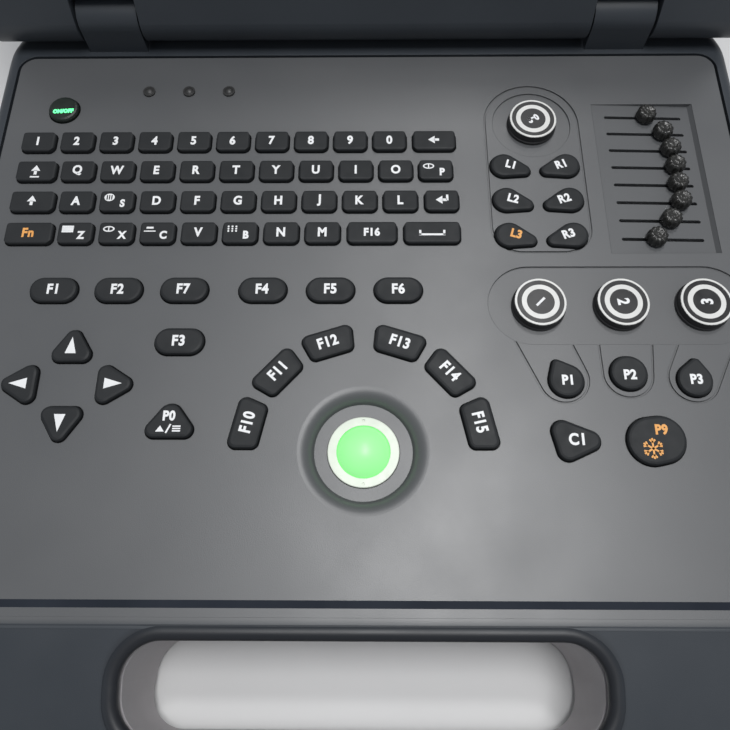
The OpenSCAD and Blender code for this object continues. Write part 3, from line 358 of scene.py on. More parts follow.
def openingShadePlastic(name, finish, shadeColour, middle, half, corner, reach):
    # a finish with painted shade that darkens towards the rounded edge of an opening in plan
    material = moulded(name, finishes[finish])
    tree = material.node_tree
    shader = tree.nodes["Principled BSDF"]
    baseColour = shader.inputs["Base Color"].links[0].from_socket
    vector = tree.nodes.new("ShaderNodeTexCoord").outputs["Object"]
    for operation, value in (("SUBTRACT", (*middle, 0)), ("MULTIPLY", (1, 1, 0)), ("ABSOLUTE", None),
                             ("SUBTRACT", (half[0] - corner, half[1] - corner, 0)), ("MAXIMUM", (0, 0, 0))):
        step = tree.nodes.new("ShaderNodeVectorMath")
        step.operation = operation
        if value:
            step.inputs[1].default_value = value
        tree.links.new(vector, step.inputs[0])
        vector = step.outputs["Vector"]
    away = tree.nodes.new("ShaderNodeVectorMath")
    away.operation = "LENGTH"
    tree.links.new(vector, away.inputs[0])
    amount = spreadNode(tree, away.outputs["Value"], 1, 0, corner, corner + reach)
    edge = mixNode(tree, (0, 0, 0), shadeColour)
    tree.links.new(amount.outputs[0], edge.inputs[0])
    tree.links.new(baseColour, edge.inputs[6])
    tree.links.new(edge.outputs[2], shader.inputs["Base Color"])
    return material


# record slot to finish
slotFinish = {
    "case_slate": "caseSlate", "case_light": "caseLight", "liner_grey": "linerGrey", "deck_grey": "deckGrey",
    "key_rubber": "keyRubber", "power_green": "powerGreen", "knob_black": "knobBlack", "cap_black": "capBlack",
    "lens_black": "lensBlack", "ball_green": "ballGreen", "ring_white": "ringWhite",
    "soft_rubber": "softRubber", "bezel_black": "bezelBlack", "screen_black": "screenBlack",
    "port_black": "portBlack", "port_grey": "portGrey", "circuit_board": "circuitBoard",
    "sheet_metal": "sheetMetal", "battery_wrap": "batteryWrap", "plated_steel": "platedSteel",
}
for part in frame["record"]["subparts"]:
    own = nodes[part["node"]].data.materials
    own.clear()
    own.append(materials[slotFinish[part["material_slot"]]])

# painted shade: the top case's slate darkens over this reach round the rolled edge of the handle opening
openingShadeLook = {"corner": 16 * mm, "dark": (0.012, 0.014, 0.018), "reach": 4.5 * mm}
linerLow, linerHigh = (Vector(corner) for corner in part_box("handle_liner"))
openingMiddle = ((linerLow.x + linerHigh.x) / 2, (linerLow.y + linerHigh.y) / 2)
openingHalf = ((linerHigh.x - linerLow.x) / 2, (linerHigh.y - linerLow.y) / 2)
nodes["top_case"].data.materials[0] = openingShadePlastic("caseTopOpeningShade", "caseSlate", openingShadeLook["dark"], openingMiddle,
                                                   openingHalf, openingShadeLook["corner"], openingShadeLook["reach"])

print("finishes laid on", len(nodes), "packed nodes")


def deselectAll():
    if bpy.context.object and bpy.context.object.mode != "OBJECT":
        bpy.ops.object.mode_set(mode="OBJECT")
    bpy.ops.object.select_all(action="DESELECT")


def pick(piece):
    deselectAll()
    piece.select_set(True)
    bpy.context.view_layer.objects.active = piece


def settle(piece):
    # the place goes into the mesh, and the object stays at the origin
    pick(piece)
    bpy.ops.object.transform_apply(location=True, rotation=True, scale=True)


def joinAll(parts, name):
    deselectAll()
    for part in parts:
        part.select_set(True)
    bpy.context.view_layer.objects.active = parts[0]
    if len(parts) > 1:
        bpy.ops.object.join()
    whole = bpy.context.object
    whole.name = name
    whole.data.name = name
    return whole


def copyOf(piece, name, turn, place):
    twin = piece.copy()
    twin.data = piece.data.copy()
    twin.name = name
    twin.data.name = name
    twin.data.transform(Matrix.Translation(place) @ Matrix.Rotation(turn, 4, "Z"))
    scene.collection.objects.link(twin)
    return twin


def boxMiddle(node):
    low, high = (Vector(corner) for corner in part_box(node))
    return (low + high) / 2


def turned(name, profile, sides, lastFinish):
    # a round piece grown from its foot: each row is a radius, a height and the finish of the band up to it
    finishNames = [row[2] for row in profile[1:]] + [lastFinish]
    deselectAll()
    bpy.ops.mesh.primitive_circle_add(vertices=sides, radius=profile[0][0], fill_type="NGON",
                                      location=(0, 0, profile[0][1]))
    piece = bpy.context.object
    settle(piece)
    bpy.ops.object.mode_set(mode="EDIT")
    bpy.ops.mesh.select_all(action="SELECT")
    for (radius, height, _), (nextRadius, nextHeight, _) in zip(profile, profile[1:]):
        grow = nextRadius / radius
        bpy.ops.mesh.extrude_region_move(TRANSFORM_OT_translate={"value": (0, 0, nextHeight - height)})
        bpy.ops.transform.resize(value=(grow, grow, 1), center_override=(0, 0, nextHeight))
    bpy.ops.mesh.select_all(action="SELECT")
    bpy.ops.mesh.normals_make_consistent(inside=False)
    bpy.ops.object.mode_set(mode="OBJECT")
    used = sorted(set(finishNames))
    for finish in used:
        piece.data.materials.append(materials[finish])
    corners = piece.data.vertices
    for face in piece.data.polygons:
        levels = [min(range(len(profile)), key=lambda k: abs(corners[i].co.xy.length - profile[k][0])
                      + abs(corners[i].co.z - profile[k][1])) for i in face.vertices]
        band = max(levels)
        if band > min(levels):
            face.material_index = used.index(finishNames[band - 1])
        else:
            face.material_index = used.index(finishNames[-1] if band else finishNames[0])
    piece.name = name
    piece.data.name = name
    return piece


def easeEdges(piece, width, angle, steps=2):
    pick(piece)
    ease = piece.modifiers.new("ease", "BEVEL")
    ease.width = width
    ease.segments = steps
    ease.limit_method = "ANGLE"
    ease.angle_limit = math.radians(angle)
    bpy.ops.object.modifier_apply(modifier=ease.name)
    bpy.ops.object.shade_smooth()
    even = piece.modifiers.new("even", "WEIGHTED_NORMAL")
    even.keep_sharp = True
    bpy.ops.object.modifier_apply(modifier=even.name)


solidLook = {"merge": 1e-6, "topBand": 0.3 * mm}


def islandsOf(nodeName):
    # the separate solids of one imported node, from left to right: middle, size and top
    mesh = bmesh.new()
    mesh.from_mesh(nodes[nodeName].data)
    bmesh.ops.remove_doubles(mesh, verts=mesh.verts, dist=solidLook["merge"])
    left, found = set(mesh.verts), []
    while left:
        group, edge = set(), [left.pop()]
        while edge:
            corner = edge.pop()
            group.add(corner)
            for link in corner.link_edges:
                other = link.other_vert(corner)
                if other in left:
                    left.discard(other)
                    edge.append(other)
        top = max(corner.co.z for corner in group)
        face = [corner.co.copy() for corner in group if corner.co.z > top - solidLook["topBand"]]
        low = Vector([min(p[i] for p in face) for i in range(3)])
        high = Vector([max(p[i] for p in face) for i in range(3)])
        found.append({"middle": (low + high) / 2, "size": high - low, "top": top,
                      "corners": [corner.co.copy() for corner in group]})
    mesh.free()
    return sorted(found, key=lambda solid: solid["middle"].x)


printing = {
    "letterSize": 6.4 * mm,
    "smallLetter": 5.4 * mm,
    "keySize": 6.6 * mm,
    "signSize": 5.8 * mm,
    "weight": 0.26 * mm,
    "narrow": 0.88,
    "spacing": 1.1,
    "curveSteps": 4,
    "ink": 0.05 * mm,
}


def printText(words, middle, size, turn=0.0, finish="whitePrint"):
    deselectAll()
    bpy.ops.object.text_add(location=(0, 0, 0))
    mark = bpy.context.object
    mark.data.body = words
    mark.data.size = size
    mark.data.offset = printing["weight"]
    mark.data.extrude = printing["ink"] / 2
    mark.data.resolution_u = printing["curveSteps"]
    mark.data.space_character = printing["spacing"]
    bpy.ops.object.convert(target="MESH")
    mark = bpy.context.object
    corners = [v.co for v in mark.data.vertices]
    centre = Vector([(min(c[i] for c in corners) + max(c[i] for c in corners)) / 2 for i in range(3)])
    mark.data.transform(Matrix.Translation(-centre))
    mark.data.transform(Matrix.Diagonal((printing["narrow"], 1, 1, 1)))
    mark.data.transform(Matrix.Rotation(turn, 4, "Z"))
    mark.data.transform(Matrix.Translation(middle))
    mark.data.materials.clear()
    mark.data.materials.append(materials[finish])
    return mark


def printShape(sides, middle, width, height, turn=0.0, finish="whitePrint"):
    # a flat mark of ink: 3 sides give a triangle that points away from the user, 4 a bar, 24 a dot
    deselectAll()
    bpy.ops.mesh.primitive_cylinder_add(vertices=sides, radius=0.5, depth=printing["ink"])
    mark = bpy.context.object
    if sides == 4:
        mark.data.transform(Matrix.Rotation(math.radians(45), 4, "Z"))
    corners = [v.co for v in mark.data.vertices]
    low = [min(c[i] for c in corners) for i in range(2)]
    high = [max(c[i] for c in corners) for i in range(2)]
    for corner in mark.data.vertices:
        corner.co.x = (corner.co.x - (low[0] + high[0]) / 2) / (high[0] - low[0]) * width
        corner.co.y = (corner.co.y - (low[1] + high[1]) / 2) / (high[1] - low[1]) * height
    mark.data.transform(Matrix.Rotation(turn, 4, "Z"))
    mark.data.transform(Matrix.Translation(middle))
    mark.data.materials.append(materials[finish])
    return mark


def onKey(solid, across=0.0, along=0.0):
    # a place on a key's top, moved across and along it by shares of its size
    place = solid["middle"] + Vector((across * solid["size"].x, along * solid["size"].y, 0))
    place.z = solid["top"] + printing["ink"] / 2
    return place


def onPoint(pointName, node):
    place = placeOn(pointName, surfaceOf([nodes[node]]))
    return place + Vector((0, 0, printing["ink"] / 2))


arrowLook = {
    "tip": (4.4 * mm, 3.2 * mm),
    "tipUp": 1.3 * mm,
    "stem": (1.4 * mm, 2.4 * mm),
    "stemDown": 1.2 * mm,
}


def arrowMark(solid, turn):
    spin = Matrix.Rotation(turn, 3, "Z")
    tipPlace = onKey(solid) + spin @ Vector((0, arrowLook["tipUp"], 0))
    stemPlace = onKey(solid) - spin @ Vector((0, arrowLook["stemDown"], 0))
    return [printShape(3, tipPlace, *arrowLook["tip"], turn),
            printShape(4, stemPlace, *arrowLook["stem"], turn)]


def finishPrint(marks, body):
    legend = joinAll(marks, "print_" + body)
    settle(legend)
    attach(legend, body)


notedMarks = {}


def noteMarks(pointName, marks):
    # keeps the corners of the marks that stand at an image point
    notedMarks[pointName] = [corner.co.copy() for mark in marks for corner in mark.data.vertices]


keyRows = {
    "key_row_digits": "1234567890",
    "key_row_upper": "QWERTYUIOP",
    "key_row_middle": "ASDFGHJKL",
    "key_row_lower": "ZXCVBNM",
}
smallSigns = {"S": "disc", "Z": "bars", "X": "ring", "C": "lines", "B": "dots", "P": "ring"}
signLook = {
    "at": (-0.22, 0.17),
    "letterAt": (0.2, -0.14),
    "width": 5.4 * mm,
    "height": 3.6 * mm,
    "bar": 0.55 * mm,
    "disc": (0.9, 1.15),  # shares of the width and of the height
    "discBar": 0.7,
    "discBars": (-0.2, 0, 0.2),
    "ring": 0.85,
    "ringHole": (0.74, 0.5),
    "ringBar": 0.6,
    "dot": 1.7,  # thickness of dots and of the bolder line in bars
    "line": 0.6,
    "lineBold": 1.8,
    "barRows": (-1.5, -0.5, 0.5, 1.5),
    "barHeight": 4.3,  # bars to the height
}
rowLook = {
    "lockAt": (0, -0.36),
    "lockBar": (4.4 * mm, 0.8 * mm),
    "enterAt": (0.17, 0.12),
    "enterStroke": (1.1 * mm, 3.2 * mm),
    "spaceAt": (0, -0.14),
    "spaceBar": (12 * mm, 1.0 * mm),
    "spaceEnd": (1.0 * mm, 2.6 * mm),
    "spaceEndOut": 5.5 * mm,
    "spaceEndDown": 0.4 * mm,
}


def signMarks(solid, kind):
    # the second, smaller sign at the upper left of some letter keys
    wide, tall, bar = signLook["width"], signLook["height"], signLook["bar"]
    place = onKey(solid, *signLook["at"])
    above = Vector((0, 0, printing["ink"]))
    if kind == "disc":
        bars = [printShape(4, place + above + Vector((k * wide, 0, 0)), bar, tall * signLook["discBar"], 0,
                           "keyRubber") for k in signLook["discBars"]]
        return [printShape(24, place, wide * signLook["disc"][0], tall * signLook["disc"][1])] + bars
    if kind == "ring":
        hole = (wide * signLook["ringHole"][0], tall * signLook["ringHole"][1])
        return [printShape(24, place, wide, tall * signLook["ring"]),
                printShape(24, place + above, *hole, 0, "keyRubber"),
                printShape(4, place + 2 * above, bar, tall * signLook["ringBar"])]
    if kind == "dots":
        dot = bar * signLook["dot"]
        return [printShape(12, place + Vector((x * wide / 3, y * tall / 3, 0)), dot, dot)
                for x in (-1, 0, 1) for y in (-1, 0, 1)]
    if kind == "lines":
        return [printShape(4, place + Vector((0, -tall / 3, 0)), wide, bar),
                printShape(4, place + Vector((0, tall / 6, 0)), wide * signLook["line"],
                           bar * signLook["lineBold"])]
    return [printShape(4, place + Vector((0, k * tall / 4, 0)), wide, tall / signLook["barHeight"])
            for k in signLook["barRows"]]


for body, letters in keyRows.items():
    solids = islandsOf(body)
    marks = []
    first = 0 if body == "key_row_digits" else 1
    for solid, letter in zip(solids[first:], letters):
        if letter in smallSigns:
            marks += signMarks(solid, smallSigns[letter])
            marks.append(printText(letter, onKey(solid, *signLook["letterAt"]), printing["smallLetter"]))
        else:
            marks.append(printText(letter, onKey(solid), printing["letterSize"]))
    wide = solids[first + len(letters):]
    if body == "key_row_digits":
        marks += arrowMark(wide[0], math.radians(90))
    if body == "key_row_upper":
        marks += arrowMark(solids[0], 0)
        marks.append(printShape(4, onKey(solids[0], *rowLook["lockAt"]), *rowLook["lockBar"]))
    if body == "key_row_middle":
        marks += arrowMark(solids[0], 0)
        marks += arrowMark(wide[0], math.radians(90))
        marks.append(printShape(4, onKey(wide[0], *rowLook["enterAt"]), *rowLook["enterStroke"]))
    if body == "key_row_lower":
        marks.append(printText("Fn", onKey(solids[0]), printing["letterSize"], 0, "orangePrint"))
        marks.append(printText("F16", onKey(wide[0]), printing["smallLetter"]))
        marks.append(printShape(4, onKey(wide[1], *rowLook["spaceAt"]), *rowLook["spaceBar"]))
        for side in (-1, 1):
            end = onKey(wide[1]) + Vector((side * rowLook["spaceEndOut"], -rowLook["spaceEndDown"], 0))
            marks.append(printShape(4, end, *rowLook["spaceEnd"]))
    finishPrint(marks, body)

print("letter keys printed")

modeMarks = ["F1", "F2", "F7", "F3", "F4", "F5", "F6"]  # from left to right
modeKeys = islandsOf("mode_keys")
finishPrint([printText(words, onKey(solid), printing["keySize"]) for solid, words in zip(modeKeys, modeMarks)],
            "mode_keys")

adjustTurn = math.radians(17)  # the words lean in towards the middle
adjustKeys = islandsOf("adjust_keys")
adjustRows = sorted({round(key["middle"].y, 3) for key in adjustKeys}, reverse=True)
adjustMiddle = sum(key["middle"].x for key in adjustKeys) / len(adjustKeys)
marks = []
for solid in adjustKeys:
    row = adjustRows.index(round(solid["middle"].y, 3))
    right = solid["middle"].x > adjustMiddle
    finish = "orangePrint" if row == 2 and not right else "whitePrint"
    marks.append(printText("LR"[right] + str(row + 1), onKey(solid), printing["signSize"],
                           adjustTurn if right else -adjustTurn, finish))
finishPrint(marks, "adjust_keys")

optionLook = {"marks": ["P1", "P2", "P3"], "at": (0, -0.08)}
optionKeys = islandsOf("option_keys")
finishPrint([printText(words, onKey(solid, *optionLook["at"]), printing["signSize"])
             for solid, words in zip(optionKeys, optionLook["marks"])], "option_keys")

ballPlace = boxMiddle("trackball_ball")
arcLook = {"keys": 6, "firstMark": 15}  # the marks count down from the right
for number in range(1, arcLook["keys"] + 1):
    body = f"arc_key_{number}"
    solid = islandsOf(body)[0]
    out = solid["middle"] - ballPlace
    finishPrint([printText("F%d" % (arcLook["firstMark"] + 1 - number), onKey(solid), printing["keySize"],
                           math.atan2(out.y, out.x) - math.pi / 2)], body)

arrowSigns = {"width": 4.8 * mm, "length": 7.6 * mm}
for side, turn in {"up": 0, "left": 90, "down": 180, "right": 270}.items():
    body = "arrow_key_" + side
    solid = islandsOf(body)[0]
    sign = printShape(3, onKey(solid), arrowSigns["width"], arrowSigns["length"], math.radians(turn))
    finishPrint([sign], body)

probeSigns = {
    "letters": 5.6 * mm,
    "lettersAt": (0, 0.16),
    "apart": 3.4 * mm,
    "stroke": (0.7 * mm, 4.2 * mm),
    "strokeLean": math.radians(-25),
    "tip": (3.6 * mm, 2.6 * mm),
    "bars": 3,
    "bar": (3.4 * mm, 0.6 * mm),
    "barGap": 1.0 * mm,
}
probeSolid = islandsOf("probe_key")[0]
probePlace = onPoint("probeSigns", "probe_key")
marks = [printShape(4, probePlace, *probeSigns["stroke"], probeSigns["strokeLean"]),
         printShape(3, probePlace - Vector((probeSigns["apart"], 0, 0)), *probeSigns["tip"])]
for k in range(probeSigns["bars"]):
    step = Vector((probeSigns["apart"], (k - 1) * probeSigns["barGap"], 0))
    marks.append(printShape(4, probePlace + step, *probeSigns["bar"]))
noteMarks("probeSigns", marks)
marks.append(printText("P0", onKey(probeSolid, *probeSigns["lettersAt"]), probeSigns["letters"]))
finishPrint(marks, "probe_key")

cineLook = {"mark": "C1", "at": (-0.02, 0.02)}
cineSolid = islandsOf("cine_key")[0]
finishPrint([printText(cineLook["mark"], onKey(cineSolid, *cineLook["at"]), printing["keySize"])], "cine_key")

freezeLook = {
    "letters": 5.6 * mm,
    "spokes": 3,
    "reach": 8.6 * mm,
    "width": 0.75 * mm,
    "barb": 1.7 * mm,
    "barbAt": 2.5 * mm,
    "barbLean": 42,
}
freezePlace = onPoint("freezeSign", "freeze_key")
word = [printText("P9", onPoint("freezeWord", "freeze_key"), freezeLook["letters"], 0, "orangePrint")]
flake = []
for spoke in range(freezeLook["spokes"]):
    turn = math.pi * spoke / freezeLook["spokes"]
    flake.append(printShape(4, freezePlace, freezeLook["width"], freezeLook["reach"], turn, "orangePrint"))
    for end in (0, math.pi):
        for lean in (-freezeLook["barbLean"], freezeLook["barbLean"]):
            # a barb starts on its spoke and leans outwards
            barbTurn = turn + end + math.radians(lean)
            barbPlace = freezePlace + Matrix.Rotation(turn + end, 3, "Z") @ Vector((0, freezeLook["barbAt"], 0))
            barbPlace += Matrix.Rotation(barbTurn, 3, "Z") @ Vector((0, freezeLook["barb"] / 2, 0))
            flake.append(printShape(4, barbPlace, freezeLook["width"], freezeLook["barb"], barbTurn,
                                    "orangePrint"))
noteMarks("freezeWord", word)
noteMarks("freezeSign", flake)
finishPrint(word + flake, "freeze_key")

powerLook = {"letters": 2.9 * mm, "tilt": math.radians(3)}
word = [printText("ON/OFF", onPoint("powerWord", "power_key"), powerLook["letters"], powerLook["tilt"],
                  "litGreen")]
noteMarks("powerWord", word)
finishPrint(word, "power_key")

print("function keys printed")

knobLook = {
    "shaft": 3.0 * mm,
    "skirt": 11.9 * mm,
    "skirtHeight": 0.9 * mm,
    "footRise": 1.3,  # skirt heights from the knob's foot to its body
    "foot": 11.5 * mm,
    "top": 11.3 * mm,
    "rings": (11.1 * mm, 10.2 * mm, 8.2 * mm, 6.0 * mm),  # rims of the thin and of the thick white ring
    "groove": 0.16 * mm,
    "deckFoot": 0.3 * mm,  # the knob's foot stands this far below the deck's surface, in its shallow groove
    "sides": 96,
    "flute": 0.988,
    "fluteClear": 0.1 * mm,
    "ease": 0.09 * mm,
    "easeOver": 50,
}
knobSigns = {
    "adjust_knob": ("0-9", 4.6 * mm, math.radians(-150)),
    "mode_knob_left": ("1", 7.0 * mm, math.radians(-45)),
    "mode_knob_middle": ("2", 7.0 * mm, math.radians(-85)),
    "mode_knob_right": ("3", 7.0 * mm, math.radians(90)),
}


def makeKnob():
    low, high = (Vector(corner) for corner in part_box("mode_knob_left"))
    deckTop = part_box("deck_panel")[1][2]
    foot, top = deckTop - knobLook["deckFoot"], high.z
    rings, sunk = knobLook["rings"], top - knobLook["groove"]
    profile = [
        (knobLook["shaft"], low.z, "knobBlack"),
        (knobLook["shaft"], foot, "knobBlack"),
        (knobLook["skirt"], foot, "knobBlack"),
        (knobLook["skirt"], foot + knobLook["skirtHeight"], "knobBlack"),
        (knobLook["foot"], foot + knobLook["footRise"] * knobLook["skirtHeight"], "knobBlack"),
        (knobLook["top"], top - 2 * knobLook["groove"], "knobBlack"),
        (rings[0], top, "knobRing"),
        (rings[1], top, "knobRing"),
        (rings[1], sunk, "knobBlack"),
        (rings[2], sunk, "knobBlack"),
        (rings[2], top, "knobRing"),
        (rings[3], top, "knobRing"),
        (rings[3], sunk, "knobBlack"),
    ]
    knob = turned("knob", profile, knobLook["sides"], "knobBlack")
    for corner in knob.data.vertices:
        around = round(math.atan2(corner.co.y, corner.co.x) / math.tau * knobLook["sides"])
        onSide = knobLook["top"] <= corner.co.xy.length < knobLook["skirt"] - knobLook["fluteClear"]
        if onSide and around % 2:
            corner.co.xy *= knobLook["flute"]
    easeEdges(knob, knobLook["ease"], knobLook["easeOver"])
    return knob, top


knobForm, knobTop = makeKnob()
for node, (words, size, turn) in knobSigns.items():
    middle = boxMiddle(node)
    place = Vector((middle.x, middle.y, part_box(node)[1][2] - knobTop))
    knob = copyOf(knobForm, node + "_ringed", turn, place)
    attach(knob, node)
    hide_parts(node)
    signPlace = Vector((middle.x, middle.y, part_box(node)[1][2] - knobLook["groove"] + printing["ink"] / 2))
    finishPrint([printText(words, signPlace, size, turn)], node)
bpy.data.objects.remove(knobForm)

print("knobs ringed and numbered")

capLook = {
    "height": 5.1 * mm,
    "radius": 4.7 * mm,
    "sides": 72,
    "flutes": 12,
    "fluteDepth": 0.13,
    "rows": [(0.92, 0.0), (1.0, 0.06), (1.0, 0.30), (0.98, 0.58), (0.93, 0.74), (0.84, 0.86), (0.72, 0.92),
             (0.58, 0.93), (0.44, 0.86), (0.30, 0.80), (0.14, 0.84)],  # shares of the radius and of the height
    "crownFrom": 0.7,
    "crownWave": 0.35 * mm,
    "waves": ((5, 9, 0), (7, -14, 1)),  # turns round the cap, turns outwards, start
    "stem": (4.0 * mm, 0.8 * mm),
    "stemInto": 1 * mm,
    "stemEase": 0.15 * mm,
    "easeOver": 40,
    "turnStep": 1.3,
    "count": 8,
}


def makeCap():
    # a fluted cap with an uneven, dished crown, on a flat stem that goes down through its slot
    low, high = (Vector(corner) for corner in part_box("tgc_slider_1"))
    foot, radius = high.z - capLook["height"], capLook["radius"]
    profile = [(radius * wide, foot + capLook["height"] * up, "capBlack") for wide, up in capLook["rows"]]
    cap = turned("cap", profile, capLook["sides"], "capBlack")
    for corner in cap.data.vertices:
        around = math.atan2(corner.co.y, corner.co.x)
        share = corner.co.xy.length / radius
        up = (corner.co.z - foot) / capLook["height"]
        valley = (0.5 - 0.5 * math.cos(capLook["flutes"] * around)) * min(1, max(0, 3 * share - 1))
        corner.co.xy *= 1 - capLook["fluteDepth"] * valley * min(1, 4 * up)
        if up > capLook["crownFrom"]:
            wave = sum(math.sin(turns * around + spread * share + start)
                       for turns, spread, start in capLook["waves"])
            corner.co.z += capLook["crownWave"] / 2 * (wave / 2 - 1) * min(1, 4 * (up - capLook["crownFrom"]))
    pick(cap)
    bpy.ops.object.shade_smooth()
    deselectAll()
    bpy.ops.mesh.primitive_cube_add(size=1, location=(0, 0, (low.z + foot + capLook["stemInto"]) / 2))
    stem = bpy.context.object
    stem.scale = (*capLook["stem"], foot - low.z + capLook["stemInto"])
    settle(stem)
    easeEdges(stem, capLook["stemEase"], capLook["easeOver"])
    stem.data.materials.append(materials["capBlack"])
    return cap, stem, foot + capLook["height"]


capForm, stemForm, capTop = makeCap()
for number in range(1, capLook["count"] + 1):
    node = f"tgc_slider_{number}"
    middle = boxMiddle(node)
    place = Vector((middle.x, middle.y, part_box(node)[1][2] - capTop))
    cap = joinAll([copyOf(capForm, "cap", capLook["turnStep"] * number, place),
                   copyOf(stemForm, "stem", 0, place)], node + "_fluted")
    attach(cap, node)
    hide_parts(node)
bpy.data.objects.remove(stemForm)
bpy.data.objects.remove(capForm)

print("slider caps fluted")


ballLook = {"cuts": 23}


def makeBall():
    # a true ball of even faces, from a divided cube pulled to a sphere
    low, high = (Vector(corner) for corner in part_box("trackball_ball"))
    deselectAll()
    bpy.ops.mesh.primitive_cube_add(size=1)
    ball = bpy.context.object
    bpy.ops.object.mode_set(mode="EDIT")
    bpy.ops.mesh.subdivide(number_cuts=ballLook["cuts"])
    bpy.ops.transform.tosphere(value=1)
    bpy.ops.object.mode_set(mode="OBJECT")
    radius = (high.x - low.x) / 2
    for corner in ball.data.vertices:
        corner.co = corner.co.normalized() * radius + (low + high) / 2
    bpy.ops.object.shade_smooth()
    ball.name = "ball_lit"
    ball.data.name = "ball_lit"
    ball.data.materials.append(materials["ballGreen"])
    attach(ball, "trackball_ball")
    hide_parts("trackball_ball")


makeBall()
print("trackball finished")

frontLook = {
    "shadeStripWidth": 2.9 * mm,
    "shadeStripProud": 0.04 * mm,
    "shadeStripDeep": 0.6 * mm,
    "shadeStripIn": 6.1 * mm,
    "shadeStripEase": 0.03 * mm,
    "easeOver": 40,
    "rollRear": 1.4 * mm,
    "rollFront": 2.9 * mm,
    "rollSteps": 14,
    "rollProud": 0.05 * mm,
    "rollRise": 0.10 * mm,
    "rollSkin": 0.25 * mm,
    "measureAt": 0.9,  # share of the deck's half width where the slope's height is taken
    "measureFrom": 10 * mm,
    # painted shade: the fade between these two lines stands for the roll turning down towards the front
    "fadeIn": 0.6 * mm,  # the colour turns from the deck's to the case's between these two lines
    "fadeOut": 2.4 * mm,
}


def makeFront():
    # a black strip in the front groove, painted shade standing in for a deep seam, and the strip that rolls the
    # deck over into the slope
    low, high = (Vector(corner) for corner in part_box("deck_panel"))
    width = high.x - low.x
    deselectAll()
    # painted shade: this black strip stands in for the shadow inside the deep front seam
    shadeStripMiddle = high.z + frontLook["shadeStripProud"] - frontLook["shadeStripDeep"] / 2
    bpy.ops.mesh.primitive_cube_add(size=1, location=(0, low.y + frontLook["shadeStripIn"], shadeStripMiddle))
    shadeStrip = bpy.context.object
    shadeStrip.scale = (width, frontLook["shadeStripWidth"], frontLook["shadeStripDeep"])
    settle(shadeStrip)
    easeEdges(shadeStrip, frontLook["shadeStripEase"], frontLook["easeOver"])
    shadeStrip.data.materials.append(materials["seamShadeBlack"])
    shadeStrip.name = "front_inlay"
    shadeStrip.data.name = "front_inlay"

    case = surfaceOf([nodes["top_case"]])
    rear, front = low.y + frontLook["rollRear"], low.y - frontLook["rollFront"]
    down = Vector((0, 0, -1))
    rearTop = high.z + frontLook["rollProud"]
    above = Vector((low.x * frontLook["measureAt"], front, high.z + frontLook["measureFrom"]))
    frontTop = case.ray_cast(above, down)[0].z + frontLook["rollProud"]
    bend = Vector((0, (rear + front) / 2, high.z + frontLook["rollRise"]))
    deselectAll()
    bpy.ops.mesh.primitive_grid_add(x_subdivisions=1, y_subdivisions=frontLook["rollSteps"], size=1)
    roll = bpy.context.object
    for corner in roll.data.vertices:
        t = 0.5 - corner.co.y
        start, end = Vector((0, rear, rearTop)), Vector((0, front, frontTop))
        along = start * (1 - t) ** 2 + bend * 2 * t * (1 - t) + end * t * t
        corner.co = (corner.co.x * width, along.y, along.z)
    wall = roll.modifiers.new("wall", "SOLIDIFY")
    wall.thickness = frontLook["rollSkin"]
    wall.offset = -1
    bpy.ops.object.modifier_apply(modifier=wall.name)
    bpy.ops.object.shade_smooth_by_angle(angle=math.radians(frontLook["easeOver"]))
    # painted shade: the roll's colour fades from deck grey to case slate as it turns down towards the front
    roll.data.materials.append(shadeFadePlastic("frontShadeFade", "deckGrey", "caseSlate",
                                            low.y + frontLook["fadeIn"], low.y - frontLook["fadeOut"]))
    roll.name = "front_roll"
    roll.data.name = "front_roll"
    for piece, slot in ((shadeStrip, "soft_rubber"), (roll, "deck_grey")):
        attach(piece, "base")


makeFront()
print("deck front finished")

room = {
    "floor": {"dark": (0.64, 0.64, 0.64), "light": (0.6656, 0.6656, 0.6656), "patches": 3, "smooth": 0.5,
              "rough": 0.6, "grain": 400, "bite": 0.02, "depth": 0.0001},
    "floorSize": 8,
    "air": (0.80, 0.83, 0.88),
    "airPower": 0.36,
    "sunPower": 0.55,
    "sunFrom": (0.10, 0.46, 1.0),
    "sunSoftness": 5.0,
    "softPower": 12.5,
    "softSize": 0.52,
    "softPlace": (0.16, -0.03, 1.45),  # its sheen makes the deck brighter towards the front
}


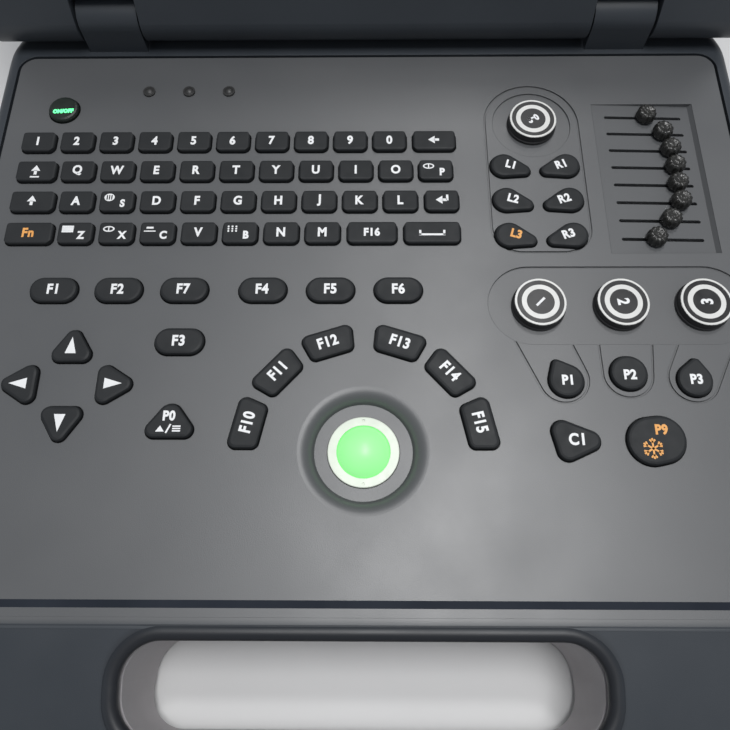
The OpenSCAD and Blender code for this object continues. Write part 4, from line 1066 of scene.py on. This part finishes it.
def makeRoom():
    deselectAll()
    bpy.ops.mesh.primitive_plane_add(size=room["floorSize"])
    floor = bpy.context.object
    floor.name = "floor"
    floor.data.materials.append(moulded("floorPaint", room["floor"]))
    scene.world = bpy.data.worlds.new("air")
    scene.world.use_nodes = True
    air = scene.world.node_tree.nodes["Background"]
    air.inputs["Color"].default_value = (*room["air"], 1)
    air.inputs["Strength"].default_value = room["airPower"]
    sun = bpy.data.lights.new("windowLight", "SUN")
    sun.energy = room["sunPower"]
    sun.angle = math.radians(room["sunSoftness"])
    lamp = bpy.data.objects.new("windowLight", sun)
    lamp.rotation_euler = Vector(room["sunFrom"]).to_track_quat("Z", "Y").to_euler()
    scene.collection.objects.link(lamp)
    soft = bpy.data.lights.new("softBox", "AREA")
    soft.energy = room["softPower"]
    soft.size = room["softSize"]
    box = bpy.data.objects.new("softBox", soft)
    box.location = room["softPlace"]
    box.visible_camera = False
    box.rotation_euler = Vector(room["softPlace"]).to_track_quat("Z", "Y").to_euler()
    scene.collection.objects.link(box)


makeRoom()
scene.view_settings.view_transform = "Standard"
print("room lit")

# which solid of a node, from the left, or which made piece stands at an image point
pointNodes = {
    "powerKey": ("power_key", 0),
    "middleLamp": ("indicator_lenses", 1),
    "firstDigitKey": ("key_row_digits", 0),
    "backspaceKey": ("key_row_digits", 10),
    "spaceKey": ("key_row_lower", 9),
    "upArrowKey": ("arrow_key_up", 0),
    "firstArcKey": ("arc_key_1", 0),
    "lastArcKey": ("arc_key_6", 0),
}
pointPieces = {
    "adjustKnob": "adjust_knob_ringed",
    "leftKnob": "mode_knob_left_ringed",
    "firstSlider": "tgc_slider_1_fluted",
    "lastSlider": "tgc_slider_8_fluted",
    "trackball": "ball_lit",
}


shownSkin = 0.15 * mm  # a corner this close under a surface still shows


def writePoints():
    # for each image point, projects the corners of what stands there into the picture and casts a ray to each
    # corner inside it; the results are not kept
    corners = dict(notedMarks)
    for pointName, (nodeName, number) in pointNodes.items():
        corners[pointName] = islandsOf(nodeName)[number]["corners"]
    for pointName, pieceName in pointPieces.items():
        corners[pointName] = [corner.co.copy() for corner in bpy.data.objects[pieceName].data.vertices]
    hides = surfaceOf([piece for piece in scene.objects if piece.type == "MESH" and not piece.hide_render])
    eye = camera.matrix_world.translation
    for pointName, (x, y) in imagePoints.items():
        for corner in corners.get(pointName, []):
            way = corner - eye
            across, down = toPicture(corner)
            inside = 0 <= across <= picture["width"] and 0 <= down <= picture["height"]
            inside and hides.ray_cast(eye, way.normalized(), way.length - shownSkin)[0] is None


writePoints()
